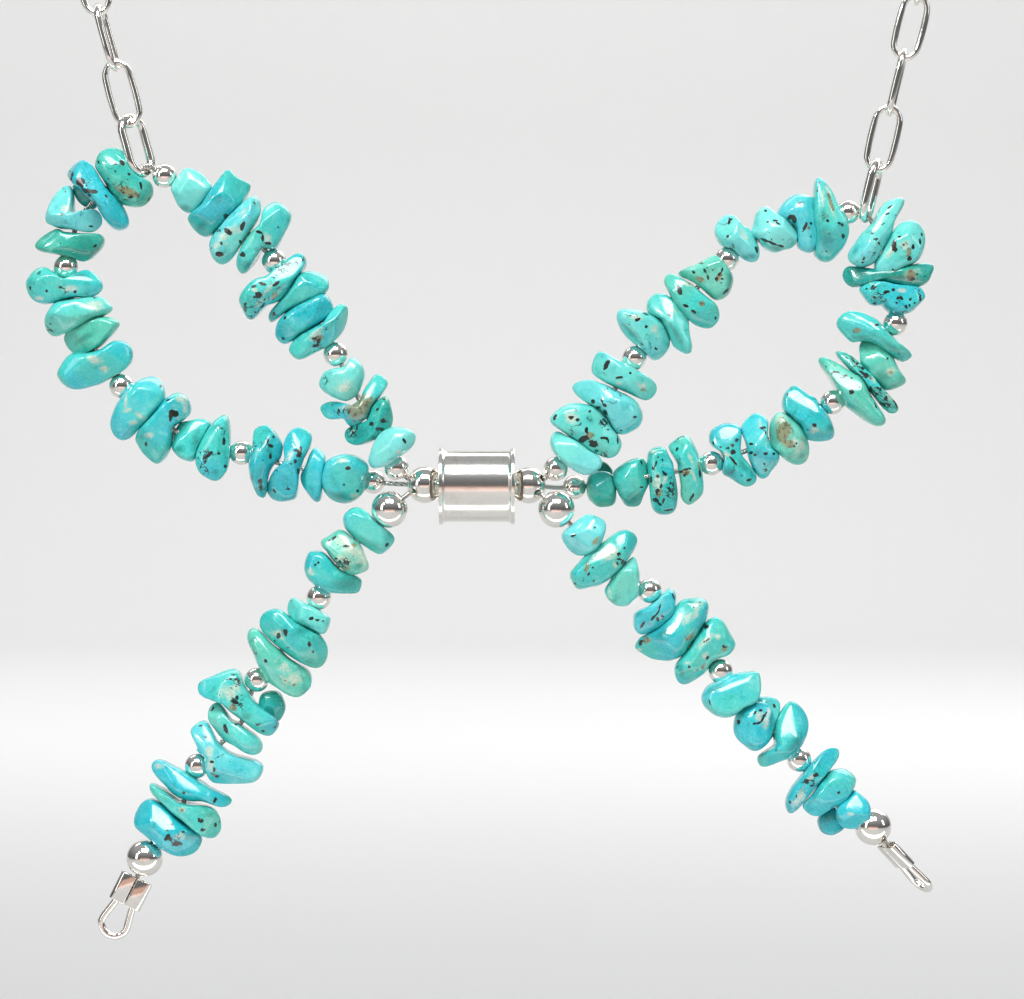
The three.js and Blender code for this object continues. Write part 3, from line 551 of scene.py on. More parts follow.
         (11.9, 4.25), (11.2, 4.4), (10.7, 5.2), (10.3, 5.9), (9.6, 6.4), (8.9, 6.8), (8.2, 7.3)],
         4.2, 0.7, 0.85, 0.3, 0, 0.1),
        ([(9.4, 9.5), (9.6, 10.4), (9.9, 10.85), (10.3, 10.9), (10.8, 10.6), (11.5, 10.2),
         (12.5, 9.6), (13.4, 9.1), (14.2, 8.6), (14.55, 8.2), (14.5, 7.6), (14.1, 7.2), (13.6, 7),
         (13, 7.2), (12, 7.7), (11, 8.2), (10.2, 8.6), (9.6, 9)], 3.6, 0.55, 0.8, 0.2, 0.1, 0),
    ],
    "right_loop_2": [
        ([(11.35, 13.7), (11.5, 14.1), (11.9, 14.3), (12.6, 14.3), (13.3, 14.2), (14, 13.9),
         (14.6, 13.55), (15, 13.2), (15.35, 12.6), (15.6, 11.9), (15.55, 11.2), (15.2, 10.6),
         (14.7, 10.3), (14.3, 10.3), (13.9, 10.55), (13.6, 10.95), (13.1, 11.4), (12.6, 11.8),
         (12, 12.4), (11.5, 13.1)], 3.6, 0.6, 0.8, 0.2, 0.2, 0.1),
        ([(14.9, 15.65), (14.4, 15.5), (14, 15.1), (13.9, 14.6), (14, 14), (14.5, 13.75),
         (15, 13.5), (15.3, 13.1), (15.6, 12.4), (15.8, 11.8), (15.9, 11.4), (16.3, 11.1),
         (16.8, 10.8), (17.2, 10.8), (17.4, 11.1), (17.4, 11.6), (17.25, 12.3), (17.15, 13.1),
         (16.95, 13.8), (16.6, 14.4), (16, 15), (15.5, 15.5)], 3.8, 0.5, 0.7, 0, 0.1, -0.1,
         (15.9, 13.5)),
        ([(15.9, 17.25), (15.5, 17.1), (15.3, 16.7), (15.35, 16.2), (15.7, 15.6), (16.1, 14.9),
         (16.7, 14.2), (17.2, 13.6), (17.7, 13.15), (18.3, 12.9), (18.9, 12.85), (19.3, 13.1),
         (19.6, 13.5), (19.65, 14.1), (19.45, 14.7), (18.9, 15.1), (18.3, 15.6), (17.6, 16.2),
         (17, 16.6), (16.4, 16.95)], 3.6, 0.35, 0.5, 0.1, 0.1, 0.1),
        ([(16.4, 17.25), (16.6, 17.5), (17.2, 17.75), (17.9, 17.95), (18.5, 18.3), (19.2, 18.7),
         (19.7, 18.5), (20, 18.2), (20.5, 17.4), (20.7, 17), (20.7, 16.3), (20.4, 15.6),
         (19.8, 15.2), (19.3, 15.2), (18.8, 15.6), (18.4, 16), (17.9, 16.4), (17.3, 16.7),
         (16.8, 16.95)], 3.4, 0.15, 0.65, 0.4, 0.2, 0),
    ],
    "right_loop_3": [
        ([(19.4, 20.5), (19.45, 21.1), (19.8, 21.65), (20.3, 21.95), (20.8, 22), (21.3, 21.6),
         (21.6, 21.1), (22, 20.9), (22.3, 20.5), (22.5, 20), (22.85, 19.3), (22.9, 18.7),
         (22.7, 18.3), (22.3, 18.2), (21.7, 18.4), (21.2, 18.8), (20.7, 19.3), (20.2, 19.4),
         (19.8, 19.7)], 3.4, 0.65, 0.85, 0.2, 0.1, 0),
        ([(23.4, 22.7), (22.95, 22.45), (22.65, 21.9), (22.5, 21.2), (22.35, 20.6), (22.55, 20.2),
         (22.9, 20.05), (23, 19.8), (23.3, 19.4), (23.9, 19.05), (24.3, 19), (24.9, 19.25),
         (25.3, 19.3), (25.7, 19.6), (25.9, 20.1), (25.9, 20.8), (25.6, 21.2), (25.1, 21.6),
         (24.4, 22), (23.9, 22.4)], 3.4, 0.65, 1, 0.2, 0.2, 0.2),
        ([(26.3, 23.7), (25.6, 23.5), (25, 23), (24.6, 22.4), (24.5, 22), (25, 21.7), (25.5, 21.4),
         (25.9, 21.1), (26, 20.5), (26, 19.9), (25.9, 19.6), (26.2, 19.3), (26.8, 19.05),
         (27.2, 19.05), (27.5, 19.4), (27.65, 20.1), (27.6, 20.9), (27.45, 21.8), (27.35, 22.6),
         (27.3, 23.3), (27.1, 23.5)], 3.8, 0.85, 0.7, 0.1, 0, -0.2, (26.4, 21.8)),
        ([(27.5, 25), (27.4, 24.5), (27.35, 23.6), (27.35, 22.6), (27.4, 21.9), (27.55, 21),
         (27.6, 20.2), (27.5, 19.4), (27.3, 19.1), (27.7, 18.6), (28.3, 18.3), (28.8, 18.4),
         (29.3, 18.9), (29.8, 19.5), (30.1, 20.1), (30.2, 20.8), (30, 21.4), (29.6, 22.1),
         (29.2, 22.9), (28.9, 23.7), (28.5, 24.3), (28, 24.8)], 4, 0.55, 0.65, 0.1, 0.3, 0.1),
    ],
    "right_loop_4": [
        ([(33.9, 23.3), (33.2, 23.1), (32.8, 22.6), (32.5, 22), (32.3, 21.5), (31.9, 21),
         (31.4, 20.6), (31, 20.1), (30.6, 19.5), (30.2, 19), (30.1, 18.4), (30.3, 18.1),
         (30.8, 17.9), (31.3, 17.8), (32, 17.95), (32.4, 18.3), (32.6, 18.8), (32.9, 19.3),
         (33.3, 20), (33.6, 20.6), (33.8, 21.2), (34.1, 21.9), (34.5, 22.4), (34.85, 22.9),
         (34.8, 23.3), (34.4, 23.4)], 4, 0.7, 0.85, 0.2, 0.1, 0),
        ([(35, 21.4), (34.3, 21.1), (33.8, 20.5), (33.5, 19.9), (33.2, 19.4), (32.8, 18.8),
         (32.4, 18.2), (32.3, 17.7), (32.5, 17.2), (33, 17.05), (33.7, 17.1), (34.3, 17.5),
         (34.9, 17.9), (35.4, 18.1), (35.9, 18.5), (36.2, 19.1), (36.4, 19.8), (36.35, 20.5),
         (36, 21.1), (35.5, 21.4)], 3.6, 0.55, 0.8, 0.2, 0.3, 0.1),
        ([(30.3, 18), (29.9, 17.6), (29.75, 17.1), (30.1, 16.5), (30.6, 16.15), (31.1, 16.1),
         (31.6, 16.3), (32.5, 16.6), (33.5, 16.5), (34.3, 16.4), (34.9, 16.25), (35.8, 16.2),
         (36.5, 16.5), (36.85, 16.9), (36.9, 17.2), (37.2, 17.6), (37.15, 18), (36.8, 18.15),
         (36, 18.2), (35.5, 18.15), (35, 17.9), (34.2, 17.6), (33.4, 17.4), (32.4, 17.5),
         (31.5, 17.9), (30.8, 18.05)], 3.6, 0.25, 0, 0.1, 0.2, -0.4),
        ([(31.1, 15.95), (31.3, 16.2), (31.8, 16.5), (32.2, 16.55), (33, 16.5), (33.8, 16.3),
         (34.8, 16.2), (35.6, 16.15), (36, 16.1), (36.3, 15.7), (36.4, 15.3), (36, 14.9),
         (35.7, 14.6), (35.2, 14.2), (34.6, 14), (33.9, 14), (33.5, 14.2), (33.2, 14.5),
         (32.9, 14.7), (32.3, 14.65), (31.8, 14.9), (31.5, 15.3)], 3.6, 0.75, 0.55, 0.5, 0, 0.1),
    ],
    "right_loop_5": [
        ([(30, 14.1), (30.5, 14.15), (31.2, 14.05), (31.8, 13.75), (32.4, 13.4), (33, 12.8),
         (33.7, 12.1), (34.4, 11.5), (35, 11), (35.4, 10.4), (35.5, 10), (35.3, 9.8), (35, 9.8),
         (34.3, 10.1), (33.6, 10.5), (33, 11), (32.4, 11.5), (31.9, 11.8), (31.3, 11.85),
         (30.6, 11.75), (30.1, 12.1), (29.6, 12.6), (29.3, 13.1), (29.5, 13.7)], 3.8, 0.5, 0.45,
         0.1, 0.1, 0.1, (31.9, 12.6)),
        ([(31.2, 11.5), (31.5, 11.8), (32, 11.7), (32.6, 11.4), (33.2, 10.9), (33.7, 10.4),
         (34.05, 9.8), (34.3, 9.3), (34.7, 8.8), (34.8, 8.5), (34.5, 8.2), (33.9, 7.95),
         (33.2, 7.9), (32.7, 8.2), (32.3, 8.6), (31.9, 9), (31.7, 9.5), (31.3, 10), (31.2, 10.6),
         (31.15, 11)], 3.4, 0.3, 0.5, 0, 0.1, -0.1),
        ([(29.1, 10.9), (29.3, 11), (29.8, 10.85), (30.4, 10.6), (31, 10.1), (31.5, 9.5), (32, 9),
         (32.5, 8.4), (33, 7.8), (33.6, 7.2), (34.2, 6.6), (34.25, 6.3), (34, 6), (33.5, 5.9),
         (33.1, 6.1), (32.8, 6.5), (32.4, 7.1), (32, 7.5), (31.7, 8), (31.2, 8.6), (30.7, 9.1),
         (30, 9.7), (29.3, 10.1), (29.1, 10.4)], 3.4, 0.5, 0.4, 0.6, 0.5, 0),
        ([(27.8, 10.3), (27.95, 10.5), (28.4, 10.45), (28.9, 10.15), (29.5, 9.8), (30.2, 9.3),
         (30.9, 8.9), (31.4, 8.3), (31.8, 7.5), (32.3, 6.8), (32.7, 6.2), (33.2, 5.6), (33.2, 5.2),
         (32.9, 4.9), (32.4, 4.8), (31.9, 5), (31.3, 5.5), (30.7, 6), (30, 6.5), (29.7, 7),
         (29.4, 7.5), (29, 8.2), (28.6, 8.9), (28.2, 9.5), (27.8, 10)], 3.8, 0.25, 0.45, 0.2, 0.1,
         0.1),
    ],
    "right_loop_6": [
        ([(25.75, 8.1), (25.3, 7.8), (25, 7.3), (24.85, 6.7), (24.9, 6.1), (25.3, 5.8),
         (25.8, 5.3), (26.3, 4.9), (26.5, 4.3), (26.8, 3.9), (27.5, 3.75), (28.2, 3.75),
         (28.8, 3.9), (29, 4.3), (28.9, 4.9), (28.6, 5.5), (28.2, 6.1), (27.8, 6.6), (27.5, 7.1),
         (27, 7.3), (26.4, 7.7), (26.1, 8)], 3.8, 0.6, 0.35, 0, 0, 0),
        ([(24.7, 6), (24.3, 5.8), (24, 5.3), (23.85, 4.6), (23.9, 3.8), (24.1, 3.2), (24.6, 2.7),
         (25.1, 2.2), (25.6, 1.9), (26.1, 1.8), (26.6, 2), (26.9, 2.5), (26.9, 3.2), (26.7, 3.9),
         (26.4, 4.6), (26.1, 5), (25.6, 5.4), (25.1, 5.8)], 3.4, 0.1, 0.7, 0.1, 0.5, 0.1),
        ([(22.6, 5.85), (22.1, 5.7), (21.85, 5.3), (21.6, 5), (21.55, 4.5), (21.7, 4), (21.9, 3.5),
         (22.05, 2.9), (22.2, 2.3), (22.4, 1.8), (22.7, 1.2), (22.9, 0.8), (23.3, 0.65),
         (23.7, 0.9), (23.9, 1.3), (24.2, 1.6), (24.5, 2), (24.55, 2.5), (24.3, 2.8), (23.95, 3),
         (23.75, 3.5), (23.6, 4.1), (23.7, 4.7), (23.65, 5.2), (23.4, 5.5), (23, 5.75)], 3.8, 0.65,
         0.65, 0.2, 0.1, 0.1, (23, 3.1)),
        ([(19, 4.2), (19.2, 4.6), (19.6, 4.8), (20.2, 5), (20.8, 4.95), (21.3, 4.8), (21.5, 4.4),
         (21.45, 3.8), (21.4, 3.1), (21.5, 2.5), (21.8, 2.1), (22.1, 1.8), (22.4, 1.4),
         (22.7, 0.9), (22.6, 0.4), (22.2, 0.1), (21.7, 0.05), (21.2, 0.3), (20.6, 0.7), (20, 1),
         (20, 1.6), (20.1, 2.2), (19.8, 2.8), (19.3, 3.1), (19, 3.6)], 3.6, 0.7, 0.3, 0.3, 0, 0,
         (20.8, 2.6)),
    ],
    "right_loop_7": [
        ([(15.65, 3.2), (16, 3.5), (16.5, 3.9), (17, 4.05), (17.3, 3.9), (17.6, 3.4), (17.9, 2.8),
         (18.1, 2.2), (18.2, 1.6), (18.3, 0.8), (18.4, 0.2), (18.45, -0.3), (18.3, -0.7),
         (17.9, -1.1), (17.5, -1.4), (17.2, -1.5), (16.8, -1.2), (16.6, -0.7), (16.6, 0),
         (16.5, 0.7), (16.4, 1.3), (16.3, 1.8), (16, 2.4), (15.7, 2.8)], 3.8, 0.35, 0.5, 0.2, 0.2,
         0),
        ([(14, 2.7), (14.3, 3), (14.8, 3.15), (15.3, 3.1), (15.5, 2.8), (15.65, 2.3), (15.9, 1.9),
         (16, 1.2), (16.2, 0.4), (16.3, -0.4), (16.3, -1.2), (16.2, -1.8), (15.9, -2.1),
         (15.3, -2.25), (14.7, -2.15), (14.35, -1.8), (14.2, -1.1), (14.15, -0.4), (14.1, 0.4),
         (14, 1.2), (13.95, 2)], 3.6, 0.55, 0.3, 0.4, 0.3, 0.1),
        ([(11.15, 0.9), (11.4, 1.3), (11.9, 1.7), (12.4, 2.05), (12.9, 2.2), (13.4, 2.2),
         (13.75, 1.7), (13.95, 1), (14, 0.5), (13.8, -0.1), (13.5, -0.8), (13.3, -1.4), (13, -1.6),
         (12.4, -1.6), (12.1, -1.4), (11.8, -0.9), (11.5, -0.3), (11.2, 0.3)], 3.2, 0.5, 0.45, 0,
         0, 0),
        ([(10, 1.95), (10.5, 1.9), (10.8, 1.55), (11, 1.2), (10.9, 0.8), (10.2, 0.8), (9.9, 1.2)],
         1.8, 0.15, 0, 0, 0, -1.2),
        ([(10, 1.15), (9.5, 1.05), (9.1, 0.7), (9, 0), (9.05, -0.8), (9.4, -1.3), (9.9, -1.65),
         (10.5, -1.65), (11, -1.5), (11.3, -1.1), (11.3, -0.2), (11.15, 0.5), (10.85, 1),
         (10.4, 1.15)], 3, 0.4, 0.4, 0, 0, 0.2),
    ],
    "left_tail_1": [
        ([(-10.75, -2.7), (-10.6, -2.3), (-10.1, -1.9), (-9.6, -1.8), (-9.1, -2), (-8.2, -2.9),
         (-7.2, -3.6), (-6.75, -4.2), (-7, -4.8), (-7.6, -5.4), (-8, -5.45), (-8.9, -4.9),
         (-10, -4.1), (-10.6, -3.4)], 3.4, 0.45, 0.65, 0, 0, -0.3),
        ([(-12.5, -4.4), (-11.9, -4), (-11.2, -3.6), (-10.7, -3.75), (-10.1, -4.3), (-9.4, -4.9),
         (-9, -5.8), (-8.8, -6.3), (-8.9, -6.8), (-9.6, -7.05), (-10.3, -7.1), (-10.9, -6.6),
         (-11.5, -6.1), (-11.9, -5.6), (-12.1, -5.2), (-12.4, -5)], 3.6, 0.3, 0.6, 0.3, 0.7, 0.2),
        ([(-13.9, -6.7), (-13.8, -6), (-13.5, -5.35), (-13.1, -5.3), (-12.4, -5.4), (-11.9, -5.9),
         (-11.3, -6.6), (-10.6, -7), (-10, -7.2), (-9.6, -7.2), (-9.35, -7.8), (-9.6, -8.5),
         (-10, -8.65), (-11.2, -8.65), (-12.2, -8.5), (-13, -8), (-13.7, -7.4)], 3.8, 0.55, 0.35,
         0, 0, 0),
    ],
    "left_tail_2": [
        ([(-15.35, -9.9), (-15.15, -9.3), (-14.9, -9.1), (-14.3, -9.35), (-13.3, -9.8),
         (-12.4, -10.3), (-11.95, -10.6), (-12, -11.2), (-12.3, -11.85), (-12.7, -11.9),
         (-13.6, -11.5), (-14.6, -11.05), (-15, -10.7), (-15.3, -10.3)], 3.2, 0.6, 0.8, 0.1, 0, 0),
        ([(-17.55, -11), (-17.3, -10.4), (-16.8, -10.05), (-16.2, -9.95), (-15.6, -10.2),
         (-15.2, -10.7), (-14.6, -11.1), (-13.6, -11.6), (-12.9, -11.9), (-12.4, -12.6),
         (-12.2, -13.3), (-12.3, -14), (-12.7, -14.6), (-13.3, -14.75), (-13.9, -14.5),
         (-15, -13.8), (-16, -13), (-16.8, -12.3), (-17.4, -11.6)], 3.8, 0.55, 0.35, 0.1, 0, 0.1),
        ([(-18.6, -12.2), (-18.4, -11.7), (-18.05, -11.5), (-17.5, -11.8), (-16.8, -12.6),
         (-16, -13.3), (-15.4, -13.95), (-14.7, -14.4), (-13.9, -14.8), (-13.55, -15.3),
         (-13.45, -16.2), (-13.9, -16.8), (-14.6, -17.1), (-15.3, -16.9), (-16.1, -16.4),
         (-16.9, -15.8), (-17.3, -15.1), (-17.7, -14.4), (-18.1, -13.5), (-18.5, -12.8)], 4, 0.25,
         0.6, 0.1, 0.3, 0),
    ],
    "left_tail_3": [
        ([(-22.6, -16.6), (-22.5, -16), (-22, -15.7), (-21, -15.3), (-20.2, -15), (-19.5, -14.95),
         (-19.1, -15.5), (-18.9, -16.2), (-18.4, -17), (-17.7, -17.9), (-16.9, -18.4),
         (-16.1, -19), (-16.2, -19.6), (-16.6, -20.15), (-17.1, -20.3), (-17.9, -19.9),
         (-18.6, -19.3), (-19.3, -18.7), (-20.1, -18.1), (-20.7, -17.6), (-21.6, -17.4),
         (-22.3, -17.2)], 4.2, 0.55, 0.6, 0.3, 0.4, 0, (-19.3, -17.6)),
        ([(-17.7, -17.5), (-17.5, -17), (-16.9, -16.8), (-16.2, -16.9), (-15.8, -17.6),
         (-15.7, -18.2), (-16, -18.9), (-16.3, -19.1), (-17, -18.5), (-17.6, -18)], 2.2, 0.35,
         0.15, 0.2, 0, -0.8),
        ([(-21.8, -18.4), (-21.6, -17.9), (-21.1, -17.65), (-20.6, -17.9), (-20.2, -18.5),
         (-20, -19), (-19.3, -19.3), (-18.4, -19.9), (-17.7, -20.4), (-17.4, -20.9),
         (-17.6, -21.5), (-18.1, -21.75), (-18.8, -21.6), (-19.7, -21), (-20.5, -20.5),
         (-21.2, -19.8), (-21.7, -19.1)], 3.6, 0.5, 0.7, 0.1, 0, 0.2),
        ([(-23.35, -20.4), (-23.2, -19.8), (-22.6, -19.3), (-22, -19.1), (-21.7, -19.5),
         (-21.2, -20.6), (-20.5, -21.4), (-19.7, -21.8), (-18.8, -22.05), (-18.1, -22.1),
         (-17.5, -22.5), (-17.4, -22.9), (-17.7, -23.6), (-18.3, -24.05), (-19.5, -24.15),
         (-20.6, -24.1), (-21.4, -24), (-21.8, -23.4), (-21.95, -22.6), (-22, -21.8),
         (-22.2, -21.4), (-22.8, -21.4), (-23.2, -21)], 4, 0.8, 0.75, 0.1, 0.2, 0, (-21.2, -22.2)),
    ],
    "left_tail_4": [
        ([(-26.4, -23), (-26.3, -22.5), (-25.9, -22.25), (-25.4, -22.3), (-24.6, -22.8),
         (-23.8, -23.2), (-22.9, -23.8), (-22, -24.3), (-21.2, -24.8), (-20.5, -24.85),
         (-20, -25.1), (-19.9, -25.6), (-20.2, -26), (-20.7, -26.1), (-21.5, -25.85),
         (-22.3, -25.6), (-23.2, -25.5), (-24.1, -25.2), (-24.8, -24.8), (-25.4, -24.2),
         (-26, -23.6)], 3.8, 0.75, 0.5, 0, 0, -0.1),
        ([(-26.6, -24.7), (-26.4, -24.1), (-26, -23.9), (-25.5, -24.4), (-24.9, -25.1),
         (-24.2, -25.6), (-23.2, -25.85), (-22.2, -25.9), (-21.4, -26.2), (-21, -26.8),
         (-20.8, -27.6), (-21, -28.3), (-21.5, -28.65), (-22.2, -28.4), (-23, -27.8),
         (-23.9, -27.1), (-24.7, -26.5), (-25.5, -25.8), (-26.3, -25.1)], 4, 0.5, 0.45, 0.1, 0.1,
         0.1),
        ([(-27.85, -27.2), (-27.7, -26.5), (-27.2, -25.8), (-26.5, -25.45), (-25.8, -25.7),
         (-25.1, -26.3), (-24.3, -27), (-23.6, -27.5), (-22.9, -28), (-22.4, -28.5),
         (-22.6, -29.2), (-23.1, -29.8), (-23.9, -30), (-24.8, -29.8), (-25.7, -29.3),
         (-26.4, -28.7), (-27.2, -28.1), (-27.7, -27.7)], 4.2, 0.75, 0.35, 0.2, 0, 0),
    ],
    "right_tail_1": [
        ([(6.9, -4.1), (7.1, -3.7), (7.7, -3.2), (8.3, -2.75), (8.8, -2.45), (9.3, -2.4),
         (9.9, -2.6), (10.3, -2.9), (10.4, -3.4), (10.2, -4), (10, -4.5), (9.7, -5), (9.3, -5.3),
         (8.8, -5.5), (8.2, -5.5), (7.6, -5.2), (7.2, -4.8), (6.95, -4.4)], 3.4, 0.7, 0.85, 0, 0.1,
         0.3),
        ([(7.6, -7.3), (7.6, -6.9), (7.9, -6.5), (8.4, -6), (9, -5.5), (9.6, -5.1), (10.1, -4.7),
         (10.7, -4.2), (11.3, -3.8), (11.9, -3.6), (12.4, -3.7), (12.85, -4.1), (12.95, -4.5),
         (12.8, -5), (12.5, -5.5), (12.1, -6), (11.6, -6.6), (11, -7.2), (10.5, -7.7), (9.9, -8),
         (9.3, -8.1), (8.6, -8.35), (8.2, -8.35), (7.9, -8), (7.7, -7.6)], 4, 0.45, 0.45, 0.2, 0.1,
         0),
        ([(12.7, -5.75), (12.4, -6), (12, -6.4), (11.5, -6.8), (11.1, -7.3), (10.8, -7.8),
         (10.55, -8.2), (10.5, -8.6), (10.7, -9.1), (11.1, -9.5), (11.6, -9.65), (12.2, -9.6),
         (12.6, -9.2), (13, -8.8), (13.1, -8.1), (13.1, -7.3), (13, -6.6), (12.85, -6)], 3.4, 0.4,
         0.75, 0, 0.1, 0.2),
    ],
    "right_tail_2": [
        ([(12.75, -10.9), (12.8, -10.4), (13.1, -10.1), (13.7, -9.85), (14.2, -9.6), (14.7, -9.2),
         (15.1, -8.6), (15.5, -8.35), (15.9, -8.5), (16.1, -9), (16, -9.5), (15.95, -10),
         (15.7, -10.5), (15.2, -10.9), (14.8, -11.3), (14.4, -11.7), (13.9, -11.9), (13.3, -12),
         (12.9, -11.7), (12.75, -11.3)], 3.4, 0.75, 0.6, 0.1, 0.1, 0.4),
        ([(16.05, -9.9), (16.3, -9.5), (16.8, -9.2), (17.4, -9.15), (18, -9.1), (18.5, -9.3),
         (18.75, -9.7), (18.7, -10.4), (18.5, -11), (18.1, -11.6), (17.7, -12.3), (17.2, -12.9),
         (16.9, -13.4), (16.4, -13.8), (15.8, -14.1), (15.2, -14.15), (14.3, -14.05),
         (13.5, -13.8), (12.9, -13.6), (12.75, -13.3), (13, -12.8), (13.3, -12.3), (13.7, -12.1),
         (14.2, -11.9), (14.8, -11.5), (15.3, -11), (15.8, -10.5)], 4, 0.6, 0.4, 0.1, 0.3, 0,
         (16.1, -12)),
        ([(18.6, -11.1), (18.9, -10.85), (19.4, -10.7), (19.8, -10.9), (20.2, -11.4), (20.5, -12),
         (20.85, -12.6), (20.9, -13), (20.7, -13.4), (20.3, -13.8), (19.8, -13.9), (19.3, -14.1),
         (18.9, -14.5), (18.6, -15), (18, -15.5), (17.5, -15.9), (17, -16.15), (16.5, -15.9),
         (16.2, -15.4), (16.1, -14.9), (16.2, -14.4), (16.5, -14), (16.9, -13.6), (17.4, -13),
         (17.8, -12.3), (18.2, -11.7)], 3.8, 0.5, 0.45, 0.2, 0.4, 0),
    ],
    "right_tail_3": [
        ([(18.3, -17.2), (18.5, -16.7), (18.9, -16.2), (19.5, -15.9), (20.2, -15.5), (20.9, -15.3),
         (21.6, -15.15), (22.3, -15.1), (22.8, -15.15), (22.95, -15.6), (23, -16.2),
         (22.95, -16.8), (22.7, -17.3), (22.3, -17.65), (21.7, -17.9), (21.2, -18.3),
         (20.7, -18.6), (20.1, -18.7), (19.4, -18.55), (18.9, -18.2), (18.5, -17.8)], 3.8, 0.55,
         0.65, 0, 0, 0.3),
        ([(22.8, -17.3), (23.4, -17.3), (24, -17.35), (24.5, -17.6), (24.65, -18.1), (24.5, -18.7),
         (24.3, -19.3), (24.2, -20), (24, -20.6), (23.7, -20.6), (23.4, -19.4), (23, -18.2)], 2.4,
         0.7, 0.7, 0.2, 0, -0.9),
        ([(21.1, -18.5), (21.5, -18.1), (22.1, -17.8), (22.8, -17.6), (23.3, -17.65), (23.8, -18),
         (24, -18.6), (24.05, -19.3), (23.9, -20), (23.7, -20.7), (23.2, -21.2), (22.7, -21.45),
         (22.3, -21.4), (21.8, -21), (21.3, -20.5), (21, -20), (20.95, -19.3)], 3.4, 0.85, 0.55,
         0.1, 0.1, 0.1),
        ([(25.5, -17.6), (25.1, -17.9), (24.8, -18.4), (24.4, -19), (24.2, -19.7), (24.15, -20.4),
         (24.2, -21), (23.8, -21.3), (23.3, -21.6), (22.9, -22), (22.85, -22.4), (23.1, -22.85),
         (23.6, -22.8), (24.2, -22.5), (24.8, -22.2), (25.3, -22), (25.9, -21.6), (26.3, -21.1),
         (26.6, -20.5), (26.85, -19.8), (26.95, -19.2), (26.7, -18.5), (26.2, -17.9),
         (25.8, -17.65)], 3.8, 0.55, 0.4, 0, 0.1, 0, (25.1, -20.9)),
    ],
    "right_tail_4": [
        ([(28.9, -21.15), (28.5, -21.3), (27.9, -21.8), (27.2, -22.5), (26.6, -23.3),
         (26.1, -23.9), (25.6, -24.5), (25.2, -25.2), (25.1, -25.7), (25.3, -26.4), (25.5, -26.6),
         (25.8, -26.5), (26.3, -26), (26.9, -25.1), (27.6, -24.1), (28.2, -23.4), (28.9, -22.6),
         (29.4, -21.9), (29.4, -21.5), (29.2, -21.2)], 3.2, 0.85, 0.3, 0.3, 0.2, 0.2),
        ([(29.2, -23.05), (28.6, -23.2), (28.1, -23.8), (27.6, -24.5), (27.1, -25.1),
         (26.7, -25.6), (26.5, -25.95), (26.8, -26.4), (27.3, -26.75), (27.8, -26.8),
         (28.3, -26.5), (28.9, -26.1), (29.5, -25.8), (30, -25.4), (30.4, -24.9), (30.7, -24.3),
         (30.75, -23.8), (30.4, -23.4), (29.9, -23.1)], 3.6, 0.75, 0.6, 0, 0.1, 0.1),
        ([(28.4, -26.6), (27.95, -27.1), (27.95, -27.7), (28.2, -28.2), (28.8, -28.4),
         (29.4, -28.2), (29.9, -27.8), (30.1, -27.4), (29.8, -26.8), (29.2, -26.3)], 2.4, 0.9,
         0.05, 0, 0, -0.9),
        ([(30.7, -24.8), (30.4, -25.1), (29.9, -25.5), (29.4, -25.9), (29.2, -26.4), (29.25, -27),
         (29.6, -27.5), (30.2, -27.7), (30.9, -27.65), (31.5, -27.4), (31.9, -26.8),
         (31.85, -26.2), (31.6, -25.6), (31.1, -25.1)], 3.4, 0.95, 0.5, 0, 0.1, 0.2),
    ],
}

